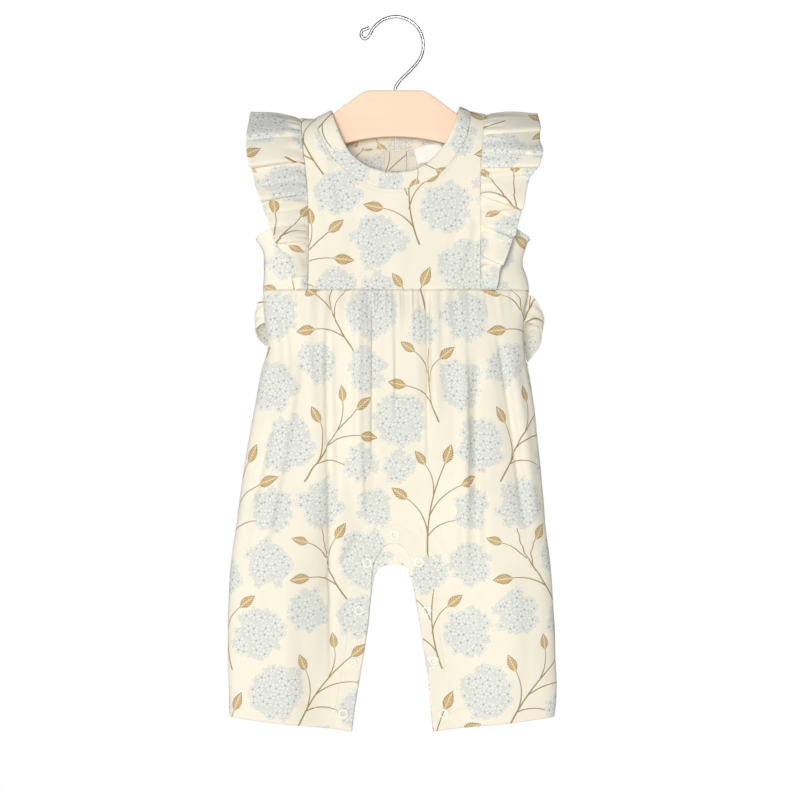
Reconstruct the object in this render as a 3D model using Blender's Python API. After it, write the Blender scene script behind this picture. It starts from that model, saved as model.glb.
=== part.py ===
"""A baby romper on its hanger, held up by the crown of the hanger's hook.

Sizes are millimetres and become metres when a mesh is written. The origin is on the inner side
of the hook's crown, +Z is up, +X is the wearer's left and the front of the romper faces -Y.

The cloth lies on one form: depth() gives how far the inner side of the front or the back stands
from the hanger's mid plane, at every x and z. A panel is a grid laid on that form and thickened
outward along the form's own normal, so neighbouring panels stay SEAM_GAP apart at their seams.
"""

import math

import bmesh
import bpy
import numpy as np
from mathutils import Vector

MM = 0.001

# Driving sizes, in millimetres.
CLOTH = 1.2
SEAM_GAP = 0.3
NECK_GAP = 0.7
WAIST_Z = -238.0
HEM_Z = -610.5
HEM_DROP = 13.5
HEM_DROP_START_Z = -500.0
ARMHOLE_TOP_Z = -112.0
UNDERARM_Z = -191.5
SHOULDER_ROUND = 28.0
LENS_POWER = 2.6
LEG_EASE = 0.45
LEG_BLEND_TOP_Z = -385.0
LEG_BLEND_LOW_Z = -441.0
CENTRE_X = 0.9
SMALLEST_DEPTH = SEAM_GAP / 2
SLOPE_STEP = 0.5

FRONT = -1
BACK = 1
LEFT = -1
RIGHT = 1


class Table:
    """Named columns of sizes, one row per section, read by a smooth curve through the rows."""

    def __init__(self, columns, rows):
        """Keep the rows in rising order of the first column, which is the key."""
        ordered = sorted(rows)
        self.key = np.array([row[0] for row in ordered], dtype=float)
        self.values = {}
        for place, name in enumerate(columns):
            self.values[name] = np.array([row[place] for row in ordered], dtype=float)

    def at(self, name, key):
        """The column's value at a key. Beyond the table's ends the end values hold."""
        value = self.values[name]
        slope = np.gradient(value, self.key)
        key = np.clip(np.asarray(key, dtype=float), self.key[0], self.key[-1])
        row = np.clip(np.searchsorted(self.key, key) - 1, 0, len(self.key) - 2)
        step = self.key[row + 1] - self.key[row]
        part = (key - self.key[row]) / step
        start = value[row] * (1 + 2 * part) * (1 - part) ** 2
        start_slope = slope[row] * step * part * (1 - part) ** 2
        end = value[row + 1] * part * part * (3 - 2 * part)
        end_slope = slope[row + 1] * step * part * part * (part - 1)
        return start + start_slope + end + end_slope


# Outer edge of the whole garment: below the arms it is the side seam, then the legs' outer edge.
OUTLINE = Table(
    ("z", "left", "right"),
    (
        (-80.0, -121.0, 119.0),
        (-191.5, -121.0, 118.5),
        (-195.5, -118.5, 116.0),
        (-202.5, -114.5, 113.5),
        (-215.5, -113.5, 111.0),
        (-228.0, -113.5, 115.0),
        (-238.0, -114.0, 116.5),
        (-249.0, -112.5, 113.5),
        (-264.0, -111.5, 111.0),
        (-290.0, -109.5, 112.5),
        (-307.5, -115.0, 116.0),
        (-335.5, -120.5, 120.5),
        (-391.5, -130.0, 126.5),
        (-447.5, -138.0, 131.5),
        (-475.5, -142.0, 135.0),
        (-510.5, -144.0, 138.0),
        (-552.5, -144.5, 139.5),
        (-587.5, -144.0, 140.5),
        (-610.5, -143.0, 138.5),
    ),
)

# Inner edges of the legs, from the top of the crotch's cut to the hem.
INSEAM = {
    FRONT: Table(
        ("z", "left", "right"),
        (
            (-459.0, -0.2, -0.2),
            (-462.0, -8.5, 6.5),
            (-467.5, -12.5, 11.0),
            (-474.5, -17.0, 13.5),
            (-482.0, -19.0, 15.5),
            (-495.5, -20.0, 17.0),
            (-509.0, -21.0, 19.0),
            (-529.0, -23.0, 22.5),
            (-552.5, -26.5, 26.0),
            (-579.5, -31.0, 30.0),
            (-607.5, -35.5, 32.5),
            (-624.0, -37.5, 34.0),
        ),
    ),
    BACK: Table(
        ("z", "left", "right"),
        (
            (-478.0, -0.2, -0.2),
            (-480.0, -10.5, 10.0),
            (-484.5, -15.5, 12.5),
            (-494.0, -18.5, 15.5),
            (-509.0, -20.5, 18.5),
            (-529.0, -22.5, 22.0),
            (-552.5, -26.0, 25.5),
            (-579.5, -30.5, 29.5),
            (-607.5, -35.0, 32.0),
            (-624.0, -37.0, 33.5),
        ),
    ),
}

# Where each leg begins to round, outside the flat strip that holds the snaps.
SNAP_STRIP = Table(
    ("z", "left", "right"),
    (
        (-385.0, -14.0, 14.0),
        (-420.0, -17.0, 16.5),
        (-441.0, -21.0, 20.0),
        (-459.0, -26.0, 25.0),
        (-476.0, -31.5, 29.5),
        (-495.0, -36.0, 33.5),
        (-529.0, -39.5, 38.5),
        (-552.5, -42.5, 42.0),
        (-579.5, -47.0, 46.0),
        (-607.5, -51.5, 49.5),
        (-624.0, -53.5, 51.0),
    ),
)

# Half thickness of the hanging garment, from the mid plane to the inner side of each wall.
FULLNESS = Table(
    ("z", "front", "back"),
    (
        (-80.0, 19.0, 17.0),
        (-150.0, 18.5, 16.5),
        (-225.0, 18.0, 16.0),
        (-238.0, 18.5, 16.5),
        (-262.0, 22.5, 20.5),
        (-330.0, 24.5, 23.5),
        (-400.0, 24.0, 24.0),
        (-460.0, 20.0, 21.0),
        (-530.0, 16.5, 17.5),
        (-624.0, 14.0, 14.5),
    ),
)
WALL_NAMES = {FRONT: "front", BACK: "back"}

# Seams that hold the ruffles, and the armhole's edge above the underarm.
RUFFLE_SEAM = Table(
    ("z", "left", "right"),
    (
        (-87.0, -82.0, 79.0),
        (-97.5, -81.0, 77.5),
        (-110.0, -80.0, 76.5),
        (-129.0, -78.0, 75.3),
        (-150.0, -76.0, 75.0),
        (-180.5, -75.0, 75.0),
        (-238.0, -75.0, 75.5),
    ),
)
ARMHOLE = Table(
    ("z", "left", "right"),
    (
        (-112.0, -82.0, 79.0),
        (-128.0, -83.5, 80.5),
        (-145.0, -86.5, 84.0),
        (-160.0, -91.5, 89.0),
        (-172.0, -98.0, 96.0),
        (-180.0, -104.0, 102.5),
        (-185.5, -110.0, 108.0),
        (-189.0, -115.5, 113.5),
        (-191.5, -120.6, 118.1),
    ),
)

# Top line of the shoulders, where the front and the back meet.
SHOULDER = Table(
    ("x", "z"),
    (
        (-126.0, -88.8),
        (-82.0, -88.8),
        (-69.0, -88.5),
        (-63.0, -85.3),
        (-54.5, -81.0),
        (0.0, -78.0),
        (56.5, -78.0),
        (65.0, -82.0),
        (79.0, -85.0),
        (126.0, -85.0),
    ),
)

# Neckband: its sewn edge and its free edge, from the left shoulder round to the right shoulder.
NECK_COLUMNS = ("step", "sewn_x", "sewn_z", "free_x", "free_z")
NECK = {
    FRONT: Table(
        NECK_COLUMNS,
        (
            (0.0, -69.0, -88.5, -54.5, -81.0),
            (1.0, -68.4, -92.3, -53.3, -84.8),
            (2.0, -66.3, -98.5, -51.2, -91.5),
            (3.0, -61.0, -110.0, -45.5, -106.0),
            (4.0, -54.5, -121.5, -39.5, -117.0),
            (5.0, -46.0, -131.0, -32.5, -124.0),
            (6.0, -34.5, -140.5, -24.5, -129.5),
            (7.0, -22.5, -146.5, -16.0, -133.0),
            (8.0, -9.5, -150.0, -6.5, -134.8),
            (9.0, 4.0, -150.5, 4.0, -135.0),
            (10.0, 19.5, -147.5, 15.0, -134.0),
            (11.0, 35.5, -139.5, 26.0, -129.0),
            (12.0, 46.0, -131.0, 35.0, -122.0),
            (13.0, 54.5, -119.5, 43.0, -112.0),
            (14.0, 62.0, -107.0, 48.5, -101.5),
            (15.0, 65.0, -95.5, 53.0, -90.5),
            (16.0, 65.9, -87.5, 55.6, -82.3),
            (17.0, 66.6, -82.4, 56.5, -78.0),
        ),
    ),
    BACK: Table(
        NECK_COLUMNS,
        (
            (0.0, -69.0, -88.5, -54.5, -81.0),
            (1.0, -67.5, -92.3, -52.6, -84.3),
            (2.0, -62.0, -99.0, -47.5, -90.0),
            (3.0, -50.0, -106.5, -38.0, -94.5),
            (4.0, -33.0, -111.5, -26.0, -97.2),
            (5.0, -15.0, -113.5, -12.5, -98.6),
            (6.0, 0.9, -114.0, 0.9, -99.0),
            (7.0, 16.5, -113.0, 14.0, -98.2),
            (8.0, 33.0, -110.5, 26.5, -96.0),
            (9.0, 48.0, -105.0, 38.0, -92.5),
            (10.0, 59.5, -95.5, 48.0, -87.3),
            (11.0, 65.0, -87.5, 54.6, -81.6),
            (12.0, 66.6, -82.4, 56.5, -78.0),
        ),
    ),
}
SHOULDER_STEPS = 2
ROW_CROWDING = 1.5

# Largest folds: a line on the form, its half width, and how far it stands out (+) or in (-).
FOLD_COLUMNS = ("wall", "x_top", "z_top", "x_low", "z_low", "half_width", "rise")
FOLDS = (
    (FRONT, -54.5, -246.0, -57.5, -572.0, 12.0, -5.0),
    (FRONT, -27.5, -244.0, -27.5, -441.0, 11.0, 3.5),
    (FRONT, 29.0, -240.0, 28.5, -351.0, 10.0, -3.0),
    (FRONT, 70.0, -300.0, 71.0, -500.0, 12.0, -4.5),
    (FRONT, 90.5, -281.0, 114.0, -447.0, 12.0, -4.0),
    (FRONT, -89.5, -300.0, -122.0, -474.0, 13.0, 4.0),
    (FRONT, -96.0, -255.0, -96.0, -316.0, 10.0, -3.0),
    (BACK, -62.0, -246.0, -66.0, -560.0, 13.0, -4.5),
    (BACK, -24.0, -244.0, -20.0, -400.0, 12.0, -3.5),
    (BACK, 22.0, -244.0, 30.0, -430.0, 12.0, 3.5),
    (BACK, 58.0, -250.0, 66.0, -520.0, 12.0, -4.5),
    (BACK, 96.0, -290.0, 118.0, -470.0, 13.0, -3.5),
)

# Ruffle, from the front waist up to the shoulder: its seam's height, then its free edge.
RUFFLE_COLUMNS = ("step", "seam_z", "x", "z", "out")
RUFFLES = {
    LEFT: Table(
        RUFFLE_COLUMNS,
        (
            (0.0, -237.0, -86.0, -237.6, 21.0),
            (1.0, -224.5, -89.0, -223.5, 22.5),
            (2.0, -213.0, -92.5, -212.0, 24.0),
            (3.0, -202.5, -101.0, -200.5, 25.5),
            (4.0, -192.0, -103.5, -191.5, 26.5),
            (5.0, -183.5, -107.0, -184.0, 27.0),
            (6.0, -172.0, -112.0, -173.0, 27.0),
            (7.0, -159.0, -116.0, -159.0, 27.0),
            (8.0, -145.5, -120.5, -146.5, 27.0),
            (9.0, -128.0, -124.5, -130.0, 26.0),
            (10.0, -113.5, -127.5, -115.0, 22.0),
            (11.0, -99.5, -127.5, -98.0, 14.0),
            (12.0, -89.2, -126.5, -82.5, 0.0),
        ),
    ),
    RIGHT: Table(
        RUFFLE_COLUMNS,
        (
            (0.0, -237.0, 89.0, -237.6, 21.0),
            (1.0, -222.0, 91.5, -221.0, 22.5),
            (2.0, -213.0, 95.0, -214.0, 24.0),
            (3.0, -200.0, 101.0, -200.5, 25.5),
            (4.0, -185.0, 105.5, -185.0, 26.5),
            (5.0, -169.5, 110.0, -170.0, 27.0),
            (6.0, -155.0, 113.5, -155.0, 27.0),
            (7.0, -141.5, 117.5, -142.0, 27.0),
            (8.0, -131.0, 124.0, -131.0, 26.5),
            (9.0, -119.0, 127.0, -119.0, 24.0),
            (10.0, -108.0, 126.0, -108.0, 19.5),
            (11.0, -97.5, 127.0, -97.0, 12.0),
            (12.0, -85.6, 125.5, -84.0, 0.0),
        ),
    ),
}
RUFFLE_TOP_STEP = 12.0
RUFFLE_SET = 1.0
RUFFLE_WAVES = 15
RUFFLE_WAVE_HEIGHT = 4.0
RUFFLE_BACK_TUCK = 1.5

# Waist ties, from the side seam round to the knot behind: both edges and the distance behind.
TIE_COLUMNS = ("step", "top_x", "top_z", "low_x", "low_z", "y")
TIES = {
    LEFT: Table(
        TIE_COLUMNS,
        (
            (0.0, -116.3, -240.5, -113.6, -265.0, 0.5),
            (1.0, -118.8, -250.0, -118.8, -269.0, 4.5),
            (2.0, -121.0, -258.0, -122.0, -273.0, 9.5),
            (3.0, -121.0, -259.5, -120.0, -279.0, 15.0),
            (4.0, -116.5, -258.5, -115.5, -284.0, 20.0),
            (5.0, -108.0, -260.0, -108.0, -288.0, 24.0),
            (6.0, -85.0, -267.0, -85.0, -294.0, 27.5),
            (7.0, -55.0, -270.0, -55.0, -295.0, 29.5),
            (8.0, -28.0, -267.0, -28.0, -287.0, 30.5),
            (9.0, -13.3, -270.0, -13.3, -284.0, 31.5),
        ),
    ),
    RIGHT: Table(
        TIE_COLUMNS,
        (
            (0.0, 118.9, -240.5, 113.4, -265.5, 0.5),
            (1.0, 124.0, -247.0, 121.0, -267.0, 4.0),
            (2.0, 128.5, -256.0, 127.5, -270.5, 9.0),
            (3.0, 130.5, -264.0, 129.5, -277.0, 14.0),
            (4.0, 127.5, -265.5, 127.5, -286.0, 19.0),
            (5.0, 121.0, -264.5, 122.5, -294.0, 23.0),
            (6.0, 112.0, -267.0, 114.0, -302.0, 26.0),
            (7.0, 86.0, -278.0, 88.0, -307.0, 28.5),
            (8.0, 55.0, -277.0, 55.0, -303.0, 30.0),
            (9.0, 29.0, -271.5, 29.0, -292.0, 31.0),
            (10.0, 14.7, -270.0, 14.7, -284.0, 31.5),
        ),
    ),
}
KNOT_SIZE = (25.0, 15.0, 20.0)
KNOT_CENTRE = (0.7, 34.0, -277.0)
TAILS = {
    LEFT: Table(
        ("z", "x", "half_width", "y"),
        ((-290.0, -5.0, 7.0, 33.0), (-318.0, -14.0, 11.5, 29.0), (-350.0, -22.0, 12.0, 28.0),
         (-398.0, -30.0, 12.0, 28.5)),
    ),
    RIGHT: Table(
        ("z", "x", "half_width", "y"),
        ((-290.0, 7.0, 7.0, 36.0), (-316.0, 15.0, 11.5, 32.5), (-346.0, 24.0, 12.0, 31.0),
         (-386.0, 36.0, 12.0, 31.0)),
    ),
}

# Hanger board: half of its outline, from the middle out to the arm's round tip.
BOARD_CENTRE_X = 0.5
BOARD_THICKNESS = 12.0
BOARD_EDGE_ROUND = 4.0
BOARD_OUTLINE = (
    (0.0, -63.5), (20.0, -63.5), (26.0, -64.3), (31.0, -67.0), (37.5, -71.5), (46.0, -77.8),
    (53.5, -83.6), (61.0, -89.0), (69.0, -92.8), (78.0, -95.2), (86.0, -98.5), (91.0, -103.0),
    (92.5, -108.0), (91.0, -113.5), (86.5, -117.5), (80.0, -118.8), (70.0, -117.6), (58.0, -114.2),
    (44.0, -110.2), (30.0, -106.8), (15.0, -104.7), (0.0, -104.0),
)

# Hook: the middle line of its wire, from inside the board up over the crown to the curl.
WIRE_RADIUS = 1.45
HOLE_CLEARANCE = 0.3
HOLE_DEPTH = 15.0
BOARD_TOP_Z = -63.5
HOOK_PATH = Table(
    ("step", "x", "z"),
    (
        (0.0, 0.5, -77.5), (1.0, 0.5, -66.0), (2.0, 1.0, -61.0), (3.0, 4.4, -55.0),
        (4.0, 10.7, -48.8), (5.0, 17.9, -41.3), (6.0, 23.2, -33.7), (7.0, 25.4, -24.1),
        (8.0, 24.1, -15.3), (9.0, 20.4, -8.0), (10.0, 13.2, -1.8), (11.0, 4.5, 1.3),
        (12.0, -3.9, 1.0), (13.0, -11.8, -2.3), (14.0, -17.9, -7.9), (15.0, -21.0, -13.2),
        (16.0, -23.9, -17.2), (17.0, -27.3, -17.4), (18.0, -29.2, -14.3), (19.0, -28.0, -10.6),
        (20.0, -24.6, -9.2),
    ),
)
HOOK_POINTS = 61
HOOK_LAST_STEP = 20.0

# Ring snaps, as places on the form.
SNAP_RING_RADIUS = 3.4
SNAP_WIRE_RADIUS = 0.7
FRONT_SNAPS = (
    ("snap_crotch", 0.4, -451.9),
    ("snap_left_1", -23.6, -476.4),
    ("snap_left_2", -30.6, -518.0),
    ("snap_left_3", -36.9, -563.9),
    ("snap_left_4", -44.7, -608.2),
    ("snap_right_1", 21.6, -475.8),
    ("snap_right_2", 28.2, -518.2),
    ("snap_right_3", 34.7, -561.8),
    ("snap_right_4", 43.6, -608.3),
)
BACK_SNAPS = (
    ("snap_back_1", CENTRE_X, -126.0),
    ("snap_back_2", CENTRE_X, -160.0),
    ("snap_back_3", CENTRE_X, -194.0),
)

# Small pieces that lie on the back.
BACK_PLACKET_HALF = 10.0
BACK_PLACKET_TOP_Z = -115.0
BACK_PLACKET_LOW_Z = -236.0
LABEL_CENTRE = (30.6, -116.6)
LABEL_HALF = (12.3, 7.2)
LABEL_TILT = math.radians(15.0)
LABEL_WALL = 1.0

# Rows of the two leg panels, by height.
LEG_ROWS = {
    FRONT: (-238.15, -248.0, -262.0, -282.0, -306.0, -332.0, -360.0, -390.0, -418.0, -432.0,
            -441.0, -450.0, -459.0, -462.0, -467.5, -474.5, -484.0, -500.0, -524.0, -552.0, -582.0,
            HEM_Z),
    BACK: (-238.15, -248.0, -262.0, -282.0, -306.0, -332.0, -360.0, -390.0, -418.0, -432.0,
           -441.0, -460.0, -470.0, -478.0, -480.5, -486.0, -498.0, -520.0, -550.0, -582.0, HEM_Z),
}
LEG_COLUMNS = 12
LEG_SHARE = 10 / LEG_COLUMNS

CREAM = (0.93, 0.88, 0.76)
PEACH = (0.98, 0.74, 0.56)
OFF_WHITE = (0.93, 0.90, 0.84)
STEEL = (0.72, 0.73, 0.74)


def smoothstep(start, end, value):
    """0 at start, 1 at end, and a smooth rise between them."""
    part = np.clip((value - start) / (end - start), 0.0, 1.0)
    return part * part * (3 - 2 * part)


def lens(offset):
    """Height of a rounded cross-section at an offset of -1 to 1 from its middle."""
    return (1 - np.clip(np.abs(offset), 0, 1) ** LENS_POWER) ** (1 / LENS_POWER)


def across_body(x, z):
    """The lens of the whole body's width at this height."""
    left = OUTLINE.at("left", z)
    right = OUTLINE.at("right", z)
    return lens((2 * x - left - right) / (right - left))


def across_leg(x, z):
    """The lens of the leg that holds x, which is flat along the strip that holds the snaps."""
    on_left = x < CENTRE_X
    outer = np.where(on_left, OUTLINE.at("left", z), OUTLINE.at("right", z))
    inner = np.where(on_left, SNAP_STRIP.at("left", z), SNAP_STRIP.at("right", z))
    share = np.clip((x - outer) / (inner - outer), 0, 1)
    return lens(2 * np.minimum(share, 0.5) - 1) * smoothstep(1.0, LEG_EASE, share)


def folds_at(x, z, wall):
    """How far the largest folds lift the cloth at a place."""
    lift = np.zeros(np.broadcast(x, z).shape)
    for fold_wall, x_top, z_top, x_low, z_low, half_width, rise in FOLDS:
        if fold_wall != wall:
            continue
        along = (z - z_top) / (z_low - z_top)
        middle = x_top + (x_low - x_top) * along
        near = np.clip(np.abs(x - middle) / half_width, 0, 1)
        fade = smoothstep(-0.05, 0.15, along) * smoothstep(1.05, 0.8, along)
        lift = lift + rise * fade * (1 + np.cos(math.pi * near)) / 2
    return lift


def depth(x, z, wall):
    """Distance of the wall's inner side from the mid plane."""
    leg_share = smoothstep(LEG_BLEND_TOP_Z, LEG_BLEND_LOW_Z, z)
    section = (1 - leg_share) * across_body(x, z) + leg_share * across_leg(x, z)
    below_shoulder = np.clip((SHOULDER.at("z", x) - z) / SHOULDER_ROUND, 0, 1)
    shoulder = np.sqrt(1 - (1 - below_shoulder) ** 2)
    full = FULLNESS.at(WALL_NAMES[wall], z) + folds_at(x, z, wall)
    return np.maximum(full * section * shoulder, SMALLEST_DEPTH)


def on_form(x, z, wall, lift):
    """Points at x and z on a wall's inner side, moved out along the form's normal by lift."""
    slope_x = (depth(x + SLOPE_STEP, z, wall) - depth(x - SLOPE_STEP, z, wall)) / (2 * SLOPE_STEP)
    slope_z = (depth(x, z + SLOPE_STEP, wall) - depth(x, z - SLOPE_STEP, wall)) / (2 * SLOPE_STEP)
    length = np.sqrt(1 + slope_x ** 2 + slope_z ** 2)
    return np.stack(
        (
            x - lift * slope_x / length,
            wall * (depth(x, z, wall) + lift / length),
            z - lift * slope_z / length,
        ),
        axis=-1,
    )


def raised(surface, u, v, lift):
    """Points of a free surface, moved along its own normal by lift."""
    step = 0.004
    along = surface(u + step, v) - surface(u - step, v)
    over = surface(u, v + step) - surface(u, v - step)
    normal = np.cross(along, over)
    normal = normal / np.linalg.norm(normal, axis=-1, keepdims=True)
    return surface(u, v) + lift * normal


def plain_material(name, colour, roughness, metallic=0.0):
    """A plain finish of one colour."""
    material = bpy.data.materials.new(name)
    material.use_nodes = True
    shader = material.node_tree.nodes["Principled BSDF"]
    shader.inputs["Base Color"].default_value = (*colour, 1.0)
    shader.inputs["Roughness"].default_value = roughness
    shader.inputs["Metallic"].default_value = metallic
    return material


def add_object(name, mesh, colour, roughness, metallic=0.0):
    """Put a mesh in the scene as a named piece with its own finish."""
    piece = bpy.data.objects.new(name, mesh)
    piece.data.materials.append(plain_material(name + "_finish", colour, roughness, metallic))
    bpy.context.collection.objects.link(piece)
    return piece


def sheet(name, patches, wall_thickness, colour=CREAM):
    """A cloth wall. Each patch is a grid laid by place(u, v, lift); touching patches are joined."""
    builder = bmesh.new()
    number = builder.verts.layers.int.new("number")
    inner_points = []
    outer_points = []
    for across, down, place in patches:
        made = bmesh.ops.create_grid(builder, x_segments=across, y_segments=down, size=0.5)
        u = np.array([vertex.co.x + 0.5 for vertex in made["verts"]])
        v = np.array([0.5 - vertex.co.y for vertex in made["verts"]])
        inner = place(u, v, 0.0) * MM
        outer = place(u, v, wall_thickness) * MM
        for vertex, inner_point, outer_point in zip(made["verts"], inner, outer):
            vertex[number] = len(inner_points)
            vertex.co = inner_point
            inner_points.append(inner_point)
            outer_points.append(outer_point)
    bmesh.ops.remove_doubles(builder, verts=builder.verts, dist=1e-6)
    faces = list(builder.faces)
    skin = bmesh.ops.extrude_face_region(builder, geom=faces, use_keep_orig=True)
    for item in skin["geom"]:
        if isinstance(item, bmesh.types.BMVert):
            item.co = outer_points[item[number]]
    bmesh.ops.recalc_face_normals(builder, faces=builder.faces)
    mesh = bpy.data.meshes.new(name)
    builder.to_mesh(mesh)
    builder.free()
    mesh.shade_smooth()
    mesh.set_sharp_from_angle(angle=math.radians(50))
    return add_object(name, mesh, colour, 0.9)


def neck_gap(wall, step):
    """The seam gap between the neckband and a bodice, as a step away from the neck."""
    small = 0.05
    neck = NECK[wall]
    along_x = neck.at("sewn_x", step + small) - neck.at("sewn_x", step - small)
    along_z = neck.at("sewn_z", step + small) - neck.at("sewn_z", step - small)
    length = np.sqrt(along_x ** 2 + along_z ** 2)
    return NECK_GAP * along_z / length, -NECK_GAP * along_x / length


def top_edge(wall, step):
    """A bodice's upper edge. Steps below 0 and past the neck's last one run along a shoulder."""
    neck = NECK[wall]
    last = neck.key[-1]
    gap_x, gap_z = neck_gap(wall, np.clip(step, 0, last))
    neck_x = neck.at("sewn_x", step) + gap_x
    neck_z = neck.at("sewn_z", step) + gap_z
    left_part = np.clip(-step / SHOULDER_STEPS, 0, 1)
    right_part = np.clip((step - last) / SHOULDER_STEPS, 0, 1)
    left_end = RUFFLE_SEAM.at("left", -88.8)
    right_end = RUFFLE_SEAM.at("right", -85.0)
    x = neck_x + (left_end - neck_x) * left_part
    x = x + (right_end - x) * right_part
    on_shoulder = (step < 0) | (step > last)
    z = np.where(on_shoulder, SHOULDER.at("z", x), neck_z)
    return x, np.minimum(z, SHOULDER.at("z", x))


def bodice_place(wall, start, end):
    """Grid of a bodice panel between two steps of its upper edge, down to the waist."""
    last = NECK[wall].key[-1]

    def place(u, v, lift):
        step = start + (end - start) * u
        top_x, top_z = top_edge(wall, step)
        v = v ** ROW_CROWDING
        z = top_z + (WAIST_Z + SEAM_GAP / 2 - top_z) * v
        top_left = RUFFLE_SEAM.at("left", top_z)
        top_share = (top_x - top_left) / (RUFFLE_SEAM.at("right", top_z) - top_left)
        low_share = (step + SHOULDER_STEPS) / (last + 2 * SHOULDER_STEPS)
        share = top_share + (low_share - top_share) * v
        left = RUFFLE_SEAM.at("left", z) + SEAM_GAP / 2
        right = RUFFLE_SEAM.at("right", z) - SEAM_GAP / 2
        return on_form(left + (right - left) * share, z, wall, lift)

    return place


def back_half_place(side):
    """Grid of one half of the back bodice, as far as the centre back opening."""
    last = NECK[BACK].key[-1]
    start, end = (-SHOULDER_STEPS, last / 2) if side == LEFT else (last / 2, last + SHOULDER_STEPS)
    whole = bodice_place(BACK, start, end)

    def place(u, v, lift):
        points = whole(u, v, lift)
        at_centre = u > 0.999 if side == LEFT else u < 0.001
        edge = np.full(len(u), CENTRE_X + side * SEAM_GAP / 2)
        straight = on_form(edge, points[:, 2], BACK, lift)
        return np.where(at_centre[:, None], straight, points)

    return place


def side_place(wall, side):
    """Grid of a side panel: the armhole's edge and side seam outside, the ruffle seam inside."""
    column = "left" if side == LEFT else "right"

    def place(u, v, lift):
        z = side_rows(v)
        above = ARMHOLE.at(column, z)
        below = OUTLINE.at(column, z)
        outer = np.where(z > UNDERARM_Z, above, below)
        inner = RUFFLE_SEAM.at(column, z) + side * SEAM_GAP / 2
        return on_form(outer + (inner - outer) * u, z, wall, lift)

    return place


def side_rows(v):
    """Heights of a side panel's rows, closer together round the underarm."""
    rows = Table(
        ("v", "z"),
        (
            (0.0, ARMHOLE_TOP_Z), (0.2, -145.0), (0.4, -172.0), (0.5, -182.0), (0.6, UNDERARM_Z),
            (0.7, -198.0), (0.85, -215.0), (1.0, WAIST_Z + SEAM_GAP / 2),
        ),
    )
    return rows.at("z", v)


def neckband_place(u, v, lift):
    """The neckband's strip: from the centre back round the left shoulder and front to the back."""
    front_last = NECK[FRONT].key[-1]
    back_last = NECK[BACK].key[-1]
    back_middle = back_last / 2
    end_gap = 0.01
    run = end_gap + (back_last + front_last - 2 * end_gap) * u
    first_back = run < back_middle
    on_front = ~first_back & (run <= back_middle + front_last)
    back_step = np.where(first_back, back_middle - run, back_last + back_middle + front_last - run)
    front_step = run - back_middle
    step = np.where(on_front, front_step, back_step)
    points = np.zeros((len(u), 3))
    for wall, chosen in ((FRONT, on_front), (BACK, ~on_front)):
        neck = NECK[wall]
        sewn_x = neck.at("sewn_x", step)
        sewn_z = neck.at("sewn_z", step)
        x = sewn_x + (neck.at("free_x", step) - sewn_x) * v
        z = sewn_z + (neck.at("free_z", step) - sewn_z) * v
        points[chosen] = on_form(x, z, wall, lift)[chosen]
    at_ridge = (np.abs(front_step) < 1e-6) | (np.abs(front_step - front_last) < 1e-6)
    points[at_ridge, 1] = 0.0
    return points


def leg_place(wall, side):
    """Grid of half a leg panel: from the outer edge to the centre, then to the leg's inner edge."""
    column = "left" if side == LEFT else "right"
    rows = np.array(LEG_ROWS[wall])

    def place(u, v, lift):
        row_z = rows[np.rint(v * (len(rows) - 1)).astype(int)]
        on_leg = (1 - np.cos(math.pi * np.clip(u / LEG_SHARE, 0, 1))) / 2
        on_strip = np.clip((u - LEG_SHARE) / (1 - LEG_SHARE), 0, 1)
        drop = HEM_DROP * smoothstep(HEM_DROP_START_Z, HEM_Z, row_z)
        z = row_z - drop * (on_leg * LEG_SHARE + on_strip * (1 - LEG_SHARE))
        outer = OUTLINE.at(column, row_z)
        inner = INSEAM[wall].at(column, z)
        strip = SNAP_STRIP.at(column, z)
        x = outer + (strip - outer) * on_leg + (inner - strip) * on_strip
        return on_form(x, z, wall, lift)

    return place


def ruffle_surface(side):
    """A gathered strip over the shoulder: u from the front waist to the back waist, v outward."""
    column = "left" if side == LEFT else "right"
    table = RUFFLES[side]

    def surface(u, v):
        run = (1 - np.abs(2 * u - 1)) * RUFFLE_TOP_STEP
        at_back = u > 0.5
        seam_z = table.at("seam_z", run)
        seam_x = RUFFLE_SEAM.at(column, seam_z) + side * RUFFLE_SET
        seam_lift = CLOTH + SEAM_GAP
        front_seam = on_form(seam_x, seam_z, FRONT, seam_lift)
        back_seam = on_form(seam_x, seam_z, BACK, seam_lift)
        seam = np.where(at_back[..., None], back_seam, front_seam)
        level = smoothstep(RUFFLE_TOP_STEP - 1.2, RUFFLE_TOP_STEP, run)
        seam[..., 1] = seam[..., 1] * (1 - level)
        wall = np.where(at_back, 1.0, -1.0)
        edge_x = table.at("x", run) - side * RUFFLE_BACK_TUCK * at_back
        edge = np.stack((edge_x, wall * table.at("out", run), table.at("z", run)), axis=-1)
        wave = RUFFLE_WAVE_HEIGHT * v * (0.5 + 0.5 * np.sin(2 * math.pi * RUFFLE_WAVES * u + side))
        flat = seam + (edge - seam) * v[..., None]
        flat[..., 1] += wall * wave * (1 - level)
        flat[..., 2] += wave * level * 0.6
        return flat

    return surface


def ruffle_place(side):
    """Grid of a ruffle, thickened away from the body."""
    surface = ruffle_surface(side)

    def place(u, v, lift):
        return raised(surface, u, v, -side * lift)

    return place


def tie_place(side):
    """Grid of a waist tie along its route from the side seam to the knot."""
    table = TIES[side]
    last = table.key[-1]

    def surface(u, v):
        step = u * last
        top = np.stack((table.at("top_x", step), table.at("y", step), table.at("top_z", step)), -1)
        low = np.stack((table.at("low_x", step), table.at("y", step), table.at("low_z", step)), -1)
        return top + (low - top) * v[..., None]

    def place(u, v, lift):
        return raised(surface, np.clip(u, 0.004, 0.996), v, -side * lift)

    return place


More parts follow.
